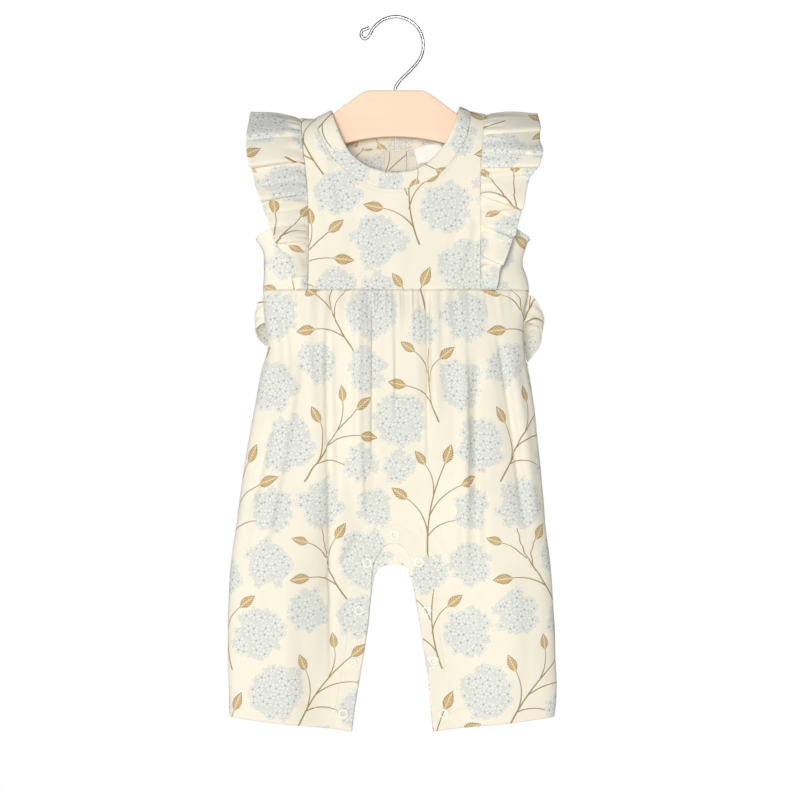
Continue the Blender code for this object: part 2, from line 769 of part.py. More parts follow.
def tail_place(side):
    """Grid of a tie's hanging end, below the knot."""
    table = TAILS[side]

    def place(u, v, lift):
        z = table.key[-1] + (table.key[0] - table.key[-1]) * v
        x = table.at("x", z) + table.at("half_width", z) * (2 * u - 1)
        return np.stack((x, table.at("y", z) + lift, z), axis=-1)

    return place


def placket_place(u, v, lift):
    """Grid of the strip that closes the centre back, lying on the back bodice."""
    x = CENTRE_X + BACK_PLACKET_HALF * (2 * u - 1)
    z = BACK_PLACKET_TOP_Z + (BACK_PLACKET_LOW_Z - BACK_PLACKET_TOP_Z) * v
    return on_form(x, z, BACK, CLOTH + SEAM_GAP + lift)


def label_place(u, v, lift):
    """Grid of the bare neck label, on the inner side of the back."""
    along = LABEL_HALF[0] * (2 * u - 1)
    over = LABEL_HALF[1] * (1 - 2 * v)
    x = LABEL_CENTRE[0] + along * math.cos(LABEL_TILT) - over * math.sin(LABEL_TILT)
    z = LABEL_CENTRE[1] + along * math.sin(LABEL_TILT) + over * math.cos(LABEL_TILT)
    return on_form(x, z, BACK, lift - SEAM_GAP - LABEL_WALL)


def make_bodice():
    """The front, the two back halves, the four side panels and the neckband."""
    front_last = NECK[FRONT].key[-1]
    front_place = bodice_place(FRONT, -SHOULDER_STEPS, front_last + SHOULDER_STEPS)
    sheet("front_bodice", [(21, 9, front_place)], CLOTH)
    sheet("back_bodice_left", [(8, 9, back_half_place(LEFT))], CLOTH)
    sheet("back_bodice_right", [(8, 9, back_half_place(RIGHT))], CLOTH)
    sheet("side_front_left", [(4, 10, side_place(FRONT, LEFT))], CLOTH)
    sheet("side_front_right", [(4, 10, side_place(FRONT, RIGHT))], CLOTH)
    sheet("side_back_left", [(4, 10, side_place(BACK, LEFT))], CLOTH)
    sheet("side_back_right", [(4, 10, side_place(BACK, RIGHT))], CLOTH)
    sheet("neckband", [(29, 2, neckband_place)], CLOTH)
    sheet("back_placket", [(2, 8, placket_place)], CLOTH)
    sheet("neck_label", [(4, 2, label_place)], LABEL_WALL, OFF_WHITE)


def make_legs():
    """The front and back leg panels, each two halves joined above the crotch."""
    for name, wall in (("legs_front", FRONT), ("legs_back", BACK)):
        down = len(LEG_ROWS[wall]) - 1
        halves = [(LEG_COLUMNS, down, leg_place(wall, side)) for side in (LEFT, RIGHT)]
        sheet(name, halves, CLOTH)


def make_ruffles_and_ties():
    """Both ruffles, both waist ties, their knot and its two tails."""
    for name, side in (("left", LEFT), ("right", RIGHT)):
        sheet("ruffle_" + name, [(60, 3, ruffle_place(side))], CLOTH)
        sheet("tie_" + name, [(20, 2, tie_place(side))], CLOTH)
        sheet("tie_tail_" + name, [(2, 6, tail_place(side))], CLOTH)
    make_knot()


def make_knot():
    """The knot of the ties: a rounded block."""
    builder = bmesh.new()
    bmesh.ops.create_cube(builder, size=1.0)
    bmesh.ops.subdivide_edges(builder, edges=builder.edges, cuts=3, use_grid_fill=True)
    for vertex in builder.verts:
        round_out = 0.5 / max(vertex.co.length, 0.5)
        share = 0.55
        vertex.co = vertex.co * (1 - share) + vertex.co * round_out * share
        for axis in range(3):
            vertex.co[axis] = (vertex.co[axis] * KNOT_SIZE[axis] + KNOT_CENTRE[axis]) * MM
    mesh = bpy.data.meshes.new("tie_knot")
    builder.to_mesh(mesh)
    builder.free()
    mesh.shade_smooth()
    add_object("tie_knot", mesh, CREAM, 0.9)


def make_snap(name, x, z, wall, lift):
    """One open ring snap, lying flat on the cloth."""
    at = on_form(np.array([x]), np.array([z]), wall, lift + SNAP_WIRE_RADIUS + SEAM_GAP)[0]
    under = on_form(np.array([x]), np.array([z]), wall, lift)[0]
    facing = Vector(at - under).to_track_quat("Z", "Y").to_euler()
    bpy.ops.mesh.primitive_torus_add(
        location=at * MM,
        rotation=facing,
        major_segments=12,
        minor_segments=5,
        major_radius=SNAP_RING_RADIUS * MM,
        minor_radius=SNAP_WIRE_RADIUS * MM,
    )
    ring = bpy.context.object
    ring.name = name
    ring.data.shade_smooth()
    ring.data.materials.append(plain_material(name + "_finish", OFF_WHITE, 0.35))


def make_snaps():
    """The snaps of the crotch and legs, and those of the back placket."""
    for name, x, z in FRONT_SNAPS:
        make_snap(name, x, z, FRONT, CLOTH)
    for name, x, z in BACK_SNAPS:
        make_snap(name, x, z, BACK, 2 * CLOTH + SEAM_GAP)


def make_board():
    """The hanger's board: its outline, cut from a board and rounded, with a hole for the hook."""
    half = list(BOARD_OUTLINE)
    other_half = [(-x, z) for x, z in reversed(half[1:-1])]
    builder = bmesh.new()
    corners = []
    for x, z in half + other_half:
        corners.append(builder.verts.new(Vector((x + BOARD_CENTRE_X, -BOARD_THICKNESS / 2, z)) * MM))
    face = builder.faces.new(corners)
    grown = bmesh.ops.extrude_face_region(builder, geom=[face])
    moved = [item for item in grown["geom"] if isinstance(item, bmesh.types.BMVert)]
    bmesh.ops.translate(builder, verts=moved, vec=Vector((0, BOARD_THICKNESS * MM, 0)))
    bmesh.ops.recalc_face_normals(builder, faces=builder.faces)
    mesh = bpy.data.meshes.new("hanger_board")
    builder.to_mesh(mesh)
    builder.free()
    board = add_object("hanger_board", mesh, PEACH, 0.6)
    rounding = board.modifiers.new("rounding", "BEVEL")
    rounding.width = BOARD_EDGE_ROUND * MM
    rounding.segments = 3
    rounding.limit_method = "ANGLE"
    rounding.angle_limit = math.radians(60)
    cut = board.modifiers.new("hook_hole", "BOOLEAN")
    cut.operation = "DIFFERENCE"
    cut.object = make_hole_cutter()
    mesh.shade_smooth()
    mesh.set_sharp_from_angle(angle=math.radians(40))


def make_hole_cutter():
    """A guide that cuts the hook's blind hole in the board."""
    above = 5.0
    bpy.ops.mesh.primitive_cylinder_add(
        vertices=16,
        radius=(WIRE_RADIUS + HOLE_CLEARANCE) * MM,
        depth=(HOLE_DEPTH + above) * MM,
        location=Vector((BOARD_CENTRE_X, 0, BOARD_TOP_Z + (above - HOLE_DEPTH) / 2)) * MM,
    )
    cutter = bpy.context.object
    cutter.name = "hook_hole_cutter"
    cutter.hide_render = True
    cutter.display_type = "WIRE"
    return cutter


def make_hook():
    """The hanger's hook, one bent wire whose foot stands in the board."""
    curve = bpy.data.curves.new("hanger_hook", "CURVE")
    curve.dimensions = "3D"
    curve.bevel_depth = WIRE_RADIUS * MM
    curve.bevel_resolution = 3
    curve.use_fill_caps = True
    wire = curve.splines.new("POLY")
    wire.points.add(HOOK_POINTS - 1)
    for number, point in enumerate(wire.points):
        step = HOOK_LAST_STEP * number / (HOOK_POINTS - 1)
        place = Vector((float(HOOK_PATH.at("x", step)), 0, float(HOOK_PATH.at("z", step)))) * MM
        point.co = (*place, 1.0)
    hook = bpy.data.objects.new("hanger_hook", curve)
    curve.materials.append(plain_material("hanger_hook_finish", STEEL, 0.15, 1.0))
    bpy.context.collection.objects.link(hook)


def main():
    """Clear the scene and build every piece."""
    for item in list(bpy.data.objects):
        bpy.data.objects.remove(item)
    make_board()
    make_hook()
    make_bodice()
    make_legs()
    make_ruffles_and_ties()
    make_snaps()


main()
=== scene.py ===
"""Looks of a baby romper on its hanger, laid out as an add-on and run as a script.

Sizes are millimetres and become metres when a mesh is written. The cloth lies on one form:
depth() gives how far the inner side of the front or the back stands from the mid plane, and every
panel is a fine grid laid on that form, with its creases, gathers, seams and hems raised from it.
Each cloth mesh carries the map "cut", its place on the flat cloth in metres, which the print reads.
"""

import math
from functools import partial

import bmesh
import bpy
import numpy as np
from bpy.props import FloatProperty, FloatVectorProperty, PointerProperty
from mathutils import Matrix, Vector


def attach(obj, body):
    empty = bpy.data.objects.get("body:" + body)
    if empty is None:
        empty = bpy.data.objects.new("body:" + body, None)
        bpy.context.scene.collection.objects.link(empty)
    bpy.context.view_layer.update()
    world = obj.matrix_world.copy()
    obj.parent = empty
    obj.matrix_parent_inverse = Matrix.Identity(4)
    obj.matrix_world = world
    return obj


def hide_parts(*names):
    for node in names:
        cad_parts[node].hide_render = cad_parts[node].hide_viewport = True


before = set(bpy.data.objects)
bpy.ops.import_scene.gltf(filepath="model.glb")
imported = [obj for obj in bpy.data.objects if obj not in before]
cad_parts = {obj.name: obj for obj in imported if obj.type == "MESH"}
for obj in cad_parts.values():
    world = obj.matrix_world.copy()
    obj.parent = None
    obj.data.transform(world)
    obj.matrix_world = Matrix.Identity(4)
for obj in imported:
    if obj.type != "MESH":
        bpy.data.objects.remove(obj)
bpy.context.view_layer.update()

bl_info = {
    "name": "Baby Romper on Hanger",
    "version": (1, 0, 0),
    "blender": (4, 5, 0),
    "location": "View3D > Sidebar > Romper",
    "description": "Builds a gathered baby romper with shoulder ruffles, hung on a short hanger",
    "category": "Add Mesh",
}

MM = 0.001
MERGE_DISTANCE = 1e-6
CUT_MAP = "cut"

# Driving sizes of the form, in millimetres, and the power and the share that round it.
# CLOTH is how far the cloth's outer side stands above the form.
CLOTH = 1.2
SEAM_GAP = 0.3
WAIST_Z = -238.0
HEM_Z = -610.5
HEM_DROP = 13.5
HEM_DROP_START_Z = -500.0
ARMHOLE_TOP_Z = -112.0
UNDERARM_Z = -191.5
SHOULDER_ROUND = 28.0
LENS_POWER = 2.6
LEG_EASE = 0.45
LEG_BLEND_TOP_Z = -385.0
LEG_BLEND_LOW_Z = -441.0
CENTRE_X = 0.9
SMALLEST_DEPTH = SEAM_GAP / 2
SLOPE_STEP = 0.5
SURFACE_STEP = 0.004
TINY = 1e-9

FRONT = -1
BACK = 1
LEFT = -1
RIGHT = 1
WALL_NAMES = {FRONT: "front", BACK: "back"}
SIDE_NAMES = {LEFT: "left", RIGHT: "right"}


class Table:
    """Named columns of sizes, one row per section, read by a smooth curve through the rows."""

    def __init__(self, columns, rows):
        """Keep the rows in rising order of the first column, which is the key."""
        ordered = sorted(rows)
        self.key = np.array([row[0] for row in ordered], dtype=float)
        self.values = {}
        for place, name in enumerate(columns):
            self.values[name] = np.array([row[place] for row in ordered], dtype=float)

    def at(self, name, key):
        """The column's value at a key. Beyond the table's ends the end values hold."""
        value = self.values[name]
        slope = np.gradient(value, self.key)
        key = np.clip(np.asarray(key, dtype=float), self.key[0], self.key[-1])
        row = np.clip(np.searchsorted(self.key, key) - 1, 0, len(self.key) - 2)
        step = self.key[row + 1] - self.key[row]
        part = (key - self.key[row]) / step
        start = value[row] * (1 + 2 * part) * (1 - part) ** 2
        start_slope = slope[row] * step * part * (1 - part) ** 2
        end = value[row + 1] * part * part * (3 - 2 * part)
        end_slope = slope[row + 1] * step * part * part * (part - 1)
        return start + start_slope + end + end_slope


# Outer edge of the whole garment: below the arms it is the side seam, then the legs' outer edge.
OUTLINE = Table(
    ("z", "left", "right"),
    (
        (-80, -121, 119), (-191.5, -121, 118.5), (-195.5, -118.5, 116), (-202.5, -114.5, 113.5),
        (-215.5, -113.5, 111), (-228, -113.5, 115), (-238, -114, 116.5), (-249, -112.5, 113.5),
        (-264, -111.5, 111), (-290, -109.5, 112.5), (-307.5, -115, 116), (-335.5, -120.5, 120.5),
        (-391.5, -130, 126.5), (-447.5, -138, 131.5), (-475.5, -142, 135), (-510.5, -144, 138),
        (-552.5, -144.5, 139.5), (-587.5, -144, 140.5), (-610.5, -143, 138.5),
    ),
)

# Inner edges of the legs, from the top of the crotch's cut to the hem.
INSEAM = {
    FRONT: Table(
        ("z", "left", "right"),
        (
            (-459, -0.2, -0.2), (-462, -8.5, 6.5), (-467.5, -12.5, 11), (-474.5, -17, 13.5),
            (-482, -19, 15.5), (-495.5, -20, 17), (-509, -21, 19), (-529, -23, 22.5),
            (-552.5, -26.5, 26), (-579.5, -31, 30), (-607.5, -35.5, 32.5), (-624, -37.5, 34),
        ),
    ),
    BACK: Table(
        ("z", "left", "right"),
        (
            (-478, -0.2, -0.2), (-480, -10.5, 10), (-484.5, -15.5, 12.5), (-494, -18.5, 15.5),
            (-509, -20.5, 18.5), (-529, -22.5, 22), (-552.5, -26, 25.5), (-579.5, -30.5, 29.5),
            (-607.5, -35, 32), (-624, -37, 33.5),
        ),
    ),
}
ARCH_TOP_Z = {FRONT: -459.0, BACK: -478.0}

# The points that stand for the edges which the cloth's rolls are measured from.
INSEAM_END_Z = -626.0
INSEAM_POINTS = 220
INSEAM_CROWDING = 1.6
NECK_POINTS = 160
ARMHOLE_POINTS = 60

# Where each leg begins to round, outside the flat strip that holds the snaps.
SNAP_STRIP = Table(
    ("z", "left", "right"),
    (
        (-385, -14, 14), (-420, -17, 16.5), (-441, -21, 20), (-459, -26, 25), (-476, -31.5, 29.5),
        (-495, -36, 33.5), (-529, -39.5, 38.5), (-552.5, -42.5, 42), (-579.5, -47, 46),
        (-607.5, -51.5, 49.5), (-624, -53.5, 51),
    ),
)

# Half thickness of the hanging garment, from the mid plane to the inner side of each wall.
FULLNESS = Table(
    ("z", "front", "back"),
    (
        (-80, 19, 17), (-150, 18.5, 16.5), (-225, 18, 16), (-238, 18.5, 16.5), (-262, 22.5, 20.5),
        (-330, 24.5, 23.5), (-400, 24, 24), (-460, 20, 21), (-530, 16.5, 17.5), (-624, 14, 14.5),
    ),
)

# Seams that hold the ruffles, and the armhole's edge above the underarm.
RUFFLE_SEAM = Table(
    ("z", "left", "right"),
    (
        (-87, -82, 79), (-97.5, -81, 77.5), (-110, -80, 76.5), (-129, -78, 75.3), (-150, -76, 75),
        (-180.5, -75, 75), (-238, -75, 75.5),
    ),
)
ARMHOLE = Table(
    ("z", "left", "right"),
    (
        (-112, -82, 79), (-128, -83.5, 80.5), (-145, -86.5, 84), (-160, -91.5, 89), (-172, -98, 96),
        (-180, -104, 102.5), (-185.5, -110, 108), (-189, -115.5, 113.5), (-191.5, -120.6, 118.1),
    ),
)

# Top line of the shoulders, where the front and the back meet.
SHOULDER = Table(
    ("x", "z"),
    (
        (-126, -88.8), (-82, -88.8), (-69, -88.5), (-63, -85.3), (-54.5, -81), (0, -78),
        (56.5, -78), (65, -82), (79, -85), (126, -85),
    ),
)

# Neckband: its sewn edge and its free edge, from the left shoulder round to the right shoulder.
NECK_COLUMNS = ("step", "sewn_x", "sewn_z", "free_x", "free_z")
NECK = {
    FRONT: Table(
        NECK_COLUMNS,
        (
            (0, -69, -88.5, -54.5, -81), (1, -68.4, -92.3, -53.3, -84.8),
            (2, -66.3, -98.5, -51.2, -91.5), (3, -61, -110, -45.5, -106),
            (4, -54.5, -121.5, -39.5, -117), (5, -46, -131, -32.5, -124),
            (6, -34.5, -140.5, -24.5, -129.5), (7, -22.5, -146.5, -16, -133),
            (8, -9.5, -150, -6.5, -134.8), (9, 4, -150.5, 4, -135), (10, 19.5, -147.5, 15, -134),
            (11, 35.5, -139.5, 26, -129), (12, 46, -131, 35, -122), (13, 54.5, -119.5, 43, -112),
            (14, 62, -107, 48.5, -101.5), (15, 65, -95.5, 53, -90.5),
            (16, 65.9, -87.5, 55.6, -82.3), (17, 66.6, -82.4, 56.5, -78),
        ),
    ),
    BACK: Table(
        NECK_COLUMNS,
        (
            (0, -69, -88.5, -54.5, -81), (1, -67.5, -92.3, -52.6, -84.3), (2, -62, -99, -47.5, -90),
            (3, -50, -106.5, -38, -94.5), (4, -33, -111.5, -26, -97.2),
            (5, -15, -113.5, -12.5, -98.6), (6, 0.9, -114, 0.9, -99), (7, 16.5, -113, 14, -98.2),
            (8, 33, -110.5, 26.5, -96), (9, 48, -105, 38, -92.5), (10, 59.5, -95.5, 48, -87.3),
            (11, 65, -87.5, 54.6, -81.6), (12, 66.6, -82.4, 56.5, -78),
        ),
    ),
}
SHOULDER_STEPS = 2
SHOULDER_END_Z = {LEFT: -88.8, RIGHT: -85.0}
ROW_CROWDING = 1.5
NECK_PROBE = 0.05

# Largest folds: a line on the form, its half width, and how far it stands out (+) or in (-).
# Columns: x_top, z_top, x_low, z_low, half_width, rise.
FOLDS = {
    FRONT: (
        (-54.5, -246, -57.5, -572, 12, -5), (-27.5, -244, -27.5, -441, 11, 3.5),
        (29, -240, 28.5, -351, 10, -3), (70, -300, 71, -500, 12, -4.5),
        (90.5, -281, 114, -447, 12, -4), (-89.5, -300, -122, -474, 13, 4),
        (-96, -255, -96, -316, 10, -3),
    ),
    BACK: (
        (-62, -246, -66, -560, 13, -4.5), (-24, -244, -20, -400, 12, -3.5),
        (22, -244, 30, -430, 12, 3.5), (58, -250, 66, -520, 12, -4.5),
        (96, -290, 118, -470, 13, -3.5),
    ),
}

# Creases: a bowed line on the form, the width of each of its sides, and its rise.
# Columns: x_top, z_top, x_low, z_low, bow, left_width, right_width, rise.
CREASES = {
    FRONT: (
        (-60, -262, -56.5, -575, 1, 2.4, 9, -2.4), (-28.5, -242, -26.5, -442, -1.5, 10, 1.8, 2.2),
        (-19.5, -248, -20, -392, 0.5, 1.8, 7, -1.8), (-1.5, -240, -1.5, -350, 0.5, 7, 1.6, 1.8),
        (27.5, -239, 28.5, -392, 0.5, 1.5, 4, -2.2), (33.5, -240, 35.5, -352, 0.5, 4.5, 8, 1.8),
        (62, -284, 65.5, -512, -1, 11, 1.7, 2.6), (70.5, -290, 73, -508, -1, 4, 12, -2),
        (88, -276, 111, -440, 2, 2.2, 8, -1.6), (101, -300, 121, -452, 2, 7, 9, 1.8),
        (-84, -300, -118, -480, 2.5, 8, 8, 2), (-108, -352, -126, -430, 0, 6, 8, -1.8),
        (-98, -252, -93, -318, 1, 7, 6, -2), (-77, -262, -70, -352, 1, 8, 6, 1.6),
        (-94, -500, -88, -604, -2, 16, 14, 1.3), (58, -470, 74, -596, 2, 14, 12, -1.4),
        (100, -480, 104, -600, 2, 16, 14, 1.2), (-24, -444, -66, -500, 3, 9, 9, -1.5),
        (26, -440, 58, -486, -3, 9, 9, -1.4), (66, -178, 47, -235, 2, 5, 8, 1.7),
        (58, -170, 38, -232, 2, 8, 5, -1.1), (-61, -114, -48, -192, -2, 9, 9, 1.1),
        (-34, -168, -40, -234, 1, 12, 10, -0.9), (8, -164, 2, -234, 1, 14, 12, 0.9),
    ),
    BACK: (
        (-66, -300, -70, -566, 2, 2, 10, -2.4), (-40, -246, -34, -430, -2, 9, 1.8, 2.2),
        (-6, -252, -8, -392, 1, 7, 7, -1.9), (18, -246, 26, -436, 1, 5, 9, 2.2),
        (44, -242, 46, -372, -1, 7, 1.6, -2), (62, -280, 70, -528, 2, 4, 12, -2.3),
        (92, -282, 114, -452, 2, 8, 8, 1.9), (-92, -270, -116, -462, -2, 9, 7, 1.8),
        (-88, -486, -94, -600, 2, 15, 13, -1.3), (96, -500, 92, -604, -2, 15, 15, 1.2),
        (-54, -150, -40, -226, 2, 9, 8, 1.2), (50, -140, 44, -230, -2, 8, 10, -1),
    ),
}

# Gathers under the waist seam.
# Columns: x, half_width, rise, reach, drift.
GATHERS = {
    FRONT: (
        (-100, 4, -1, 34, -3), (-91, 3.6, 1.2, 46, -3), (-83.5, 3.2, -1.1, 40, -2),
        (-72, 3.4, 1.5, 70, -2), (-66, 2.4, -1.8, 92, -1), (-60.5, 2.8, 1.7, 60, -1),
        (-55, 2.2, -1.6, 84, 0), (-49, 2.6, 1.4, 52, 0.5), (-43.5, 2, -1.7, 74, 0.5),
        (-38.5, 2.2, 1.3, 44, 0), (-34, 1.9, -1.5, 58, 0.5), (-23, 2, -1.4, 64, 0.5),
        (-18, 2.2, 1.5, 56, 0), (-13.5, 1.8, -1.4, 40, -0.5), (-8, 2.4, 1.5, 68, 0),
        (-1.5, 2, -1.6, 82, 0.5), (4, 2.3, 1.4, 50, 0.5), (9, 1.8, -1.2, 36, 0),
        (15, 2.4, 1.3, 58, 0.5), (21.5, 2.2, -1.1, 42, 1), (40, 2.2, -1.5, 62, 1),
        (45.5, 2.5, 1.4, 54, 1.5), (51.5, 2, -1.5, 76, 2), (57, 2.4, 1.3, 46, 1.5),
        (63.5, 2.2, -1.4, 66, 2.5), (70, 2.6, 1.2, 48, 3), (79, 3.2, -1, 40, 3),
        (90, 3.8, 1, 44, 4), (101, 4, -0.9, 30, 3),
    ),
    BACK: (
        (-99, 4, 1, 40, -3), (-88, 3.2, -1.2, 50, -2), (-78, 3, 1.3, 62, -2),
        (-71, 2.4, -1.5, 76, -1), (-62, 2.8, 1.4, 48, -1), (-54.5, 2.2, -1.6, 82, -0.5),
        (-47, 2.6, 1.5, 56, 0), (-33, 2.4, -1.5, 60, 0.5), (-25, 2.2, 1.4, 70, 0),
        (-17.5, 2, -1.3, 42, 0), (-9, 2.4, 1.5, 64, 0), (0.5, 2.2, -1.5, 78, 0),
        (9.5, 2.5, 1.4, 52, 0.5), (25, 2.2, -1.5, 70, 0.5), (32.5, 2.4, 1.4, 46, 1),
        (38.5, 2, -1.3, 58, 1), (52, 2.6, 1.5, 66, 1.5), (60, 2.2, -1.5, 80, 2),
        (69, 2.8, 1.3, 50, 2), (81, 3.4, -1.1, 44, 3), (95, 4, 1, 40, 3),
    ),
}
GATHER_SPREAD = 1.3
GATHER_FALL = 1.3
CREASE_GAIN = 1.5
GATHER_GAIN = 1.5
GATHER_NARROW = 0.62

# Where folds end: at the top they rise from 0 at the first share of their run to all of their
# height at the second, and at the foot they fall from the second to 0 at the first.
FOLD_ENDS = ((-0.05, 0.15), (1.05, 0.8))
CREASE_ENDS = ((-0.06, 0.16), (1.08, 0.72))
PUCKER_ENDS = ((0.0, 0.08), (0.45, 0.08))

# The gathers' puff does so too, in millimetres below the waist.
PUFF_ENDS = ((0.0, 16.0), (70.0, 16.0))
GATHER_PUFF = 1.2

# Slow unevenness of the hanging cloth: wave length across and down, phase, height.
DRIFT_WAVES = ((61.0, 143.0, 0.4, 0.35), (37.0, 97.0, 2.1, 0.22), (89.0, 58.0, 4.0, 0.25))

# Ruffle, from the front waist up to the shoulder: its seam's height, then its free edge.
RUFFLE_COLUMNS = ("step", "seam_z", "x", "z", "out")
RUFFLES = {
    LEFT: Table(
        RUFFLE_COLUMNS,
        (
            (0, -237, -86, -237.6, 21), (1, -224.5, -89, -223.5, 22.5), (2, -213, -92.5, -212, 24),
            (3, -202.5, -101, -200.5, 25.5), (4, -192, -103.5, -191.5, 26.5),
            (5, -183.5, -107, -184, 27), (6, -172, -112, -173, 27), (7, -159, -116, -159, 27),
            (8, -145.5, -120.5, -146.5, 27), (9, -128, -124.5, -130, 26),
            (10, -113.5, -127.5, -115, 22), (11, -99.5, -127.5, -98, 14),
            (12, -89.2, -126.5, -82.5, 0),
        ),
    ),
    RIGHT: Table(
        RUFFLE_COLUMNS,
        (
            (0, -237, 89, -237.6, 21), (1, -222, 91.5, -221, 22.5), (2, -213, 95, -214, 24),
            (3, -200, 101, -200.5, 25.5), (4, -185, 105.5, -185, 26.5), (5, -169.5, 110, -170, 27),
            (6, -155, 113.5, -155, 27), (7, -141.5, 117.5, -142, 27), (8, -131, 124, -131, 26.5),
            (9, -119, 127, -119, 24), (10, -108, 126, -108, 19.5), (11, -97.5, 127, -97, 12),
            (12, -85.6, 125.5, -84, 0),
        ),
    ),
}
RUFFLE_TOP_STEP = 12.0
RUFFLE_SET = -0.5
RUFFLE_BACK_TUCK = 1.5
RUFFLE_LEVEL_STEPS = 1.6
RUFFLE_CLOSED_STEPS = 0.4
RUFFLE_TOP_RISE = 0.6

# Folds of a ruffle: each rises sharply at its lower edge and falls slowly above it.
# Columns: wall, step on its run, width below and above in steps, rise at the free edge, and slant
# in steps from the seam to the free edge.
RUFFLE_FOLDS = {
    LEFT: (
        (FRONT, 9.30, 0.15, 2.6, 7, -0.33), (FRONT, 7.50, 0.14, 1.5, 6, -0.60),
        (FRONT, 3.80, 0.15, 2.2, 7, -0.42), (FRONT, 5.70, 0.50, 1, 2.4, -0.30),
        (FRONT, 1.20, 0.30, 1.6, 4.5, -0.20), (FRONT, 10.90, 0.30, 0.9, 2.6, -0.25),
        (FRONT, 8.50, 0.20, 0.7, 2, -0.60), (FRONT, 6.60, 0.25, 0.6, 1.8, -0.35),
        (BACK, 8.90, 0.16, 2.4, 7, -0.40), (BACK, 6.60, 0.15, 1.7, 6.2, -0.50),
        (BACK, 4.30, 0.16, 1.6, 6.6, -0.30), (BACK, 2.10, 0.22, 1.8, 5.4, -0.30),
    ),
    RIGHT: (
        (FRONT, 8.00, 0.15, 2.8, 7.5, 0.00), (FRONT, 6.00, 0.14, 1.8, 6.5, -0.85),
        (FRONT, 4.35, 0.15, 1.5, 6, -0.75), (FRONT, 2.60, 0.16, 1.4, 5.2, -0.90),
        (FRONT, 0.60, 0.40, 1.4, 3, -0.20), (FRONT, 10.60, 0.25, 0.9, 2.6, 0.35),
        (FRONT, 9.30, 0.30, 0.8, 2.2, -0.35), (FRONT, 7.20, 0.22, 0.7, 2.2, 0.30),
        (FRONT, 5.30, 0.25, 0.6, 1.8, -0.55),
        (BACK, 8.60, 0.16, 2.2, 7, -0.40), (BACK, 6.30, 0.15, 1.6, 6.4, -0.50),
        (BACK, 3.90, 0.16, 1.7, 6.4, -0.40), (BACK, 1.60, 0.24, 1.6, 5, -0.30),
    ),
}
UNDERCUT = 0.18
UNDERCUT_WIDTHS = (0.7, 0.1)
CREVICE = 0.36
CREVICE_WIDTH = 0.09
FOLD_AT_SEAM = 0.15
FOLD_GROWTH = 0.7
FOLD_SPREAD = 0.22
PUCKERS = 9.0
PUCKER_WANDER = (2.1, 1.7)
PUCKER_HEIGHT = 0.8

# Waist ties, from the side seam round to the knot behind: both edges and the distance behind.
TIE_COLUMNS = ("step", "top_x", "top_z", "low_x", "low_z", "y")
TIES = {
    LEFT: Table(
        TIE_COLUMNS,
        (
            (0, -116.3, -240.5, -113.6, -265, 0.5), (1, -118.8, -250, -118.8, -269, 4.5),
            (2, -121, -258, -122, -273, 9.5), (3, -121, -259.5, -120, -279, 15),
            (4, -116.5, -258.5, -115.5, -284, 20), (5, -108, -260, -108, -288, 24),
            (6, -85, -267, -85, -294, 27.5), (7, -55, -270, -55, -295, 29.5),
            (8, -28, -267, -28, -287, 30.5), (9, -13.3, -270, -13.3, -284, 31.5),
        ),
    ),
    RIGHT: Table(
        TIE_COLUMNS,
        (
            (0, 118.9, -240.5, 113.4, -265.5, 0.5), (1, 124, -247, 121, -267, 4),
            (2, 128.5, -256, 127.5, -270.5, 9), (3, 130.5, -264, 129.5, -277, 14),
            (4, 127.5, -265.5, 127.5, -286, 19), (5, 121, -264.5, 122.5, -294, 23),
            (6, 112, -267, 114, -302, 26), (7, 86, -278, 88, -307, 28.5),
            (8, 55, -277, 55, -303, 30), (9, 29, -271.5, 29, -292, 31),
            (10, 14.7, -270, 14.7, -284, 31.5),
        ),
    ),
}
TIE_PLEAT = 0.9
TIE_PLEATS = 2.3
TIE_PLEAT_WANDER = (0.35, 5.0)
TIE_BUNCHED = ((0.25, 0.0), (0.7, 1.0))
TIE_SLACK = 0.5
TIE_SLACK_WAVES = (9.0, 2.0)
TIE_TUCK = 3.2
TIE_TUCK_SHARE = 0.1
KNOT_SIZE = (25.0, 15.0, 20.0)
KNOT_CENTRE = (0.7, 34.0, -277.0)
KNOT_CUTS = 19
KNOT_ROUNDNESS = 0.55
KNOT_WRAPS = (2.6, 0.4, 0.9)
KNOT_FOLD = 0.035
KNOT_SHRINK = 0.03
TAILS = {
    LEFT: Table(
        ("z", "x", "half_width", "y"),
        ((-290, -5, 7, 33), (-318, -14, 11.5, 29), (-350, -22, 12, 28),
         (-398, -30, 12, 28.5)),
    ),
    RIGHT: Table(
        ("z", "x", "half_width", "y"),
        ((-290, 7, 7, 36), (-316, 15, 11.5, 32.5), (-346, 24, 12, 31),
         (-386, 36, 12, 31)),
    ),
}

TAIL_BUNCHED = 0.45
TAIL_PLEATS = 2.2
TAIL_SWAY = 0.8
TAIL_WAVES = 7.0
TAIL_CUP = 0.9

# Hanger board: half of its outline, from the middle out to the arm's round tip.
BOARD_CENTRE_X = 0.5
BOARD_OUTLINE = (
    (0, -63.5), (20, -63.5), (26, -64.3), (31, -67), (37.5, -71.5), (46, -77.8),
    (53.5, -83.6), (61, -89), (69, -92.8), (78, -95.2), (86, -98.5), (91, -103),
    (92.5, -108), (91, -113.5), (86.5, -117.5), (80, -118.8), (70, -117.6), (58, -114.2),
    (44, -110.2), (30, -106.8), (15, -104.7), (0, -104),
)

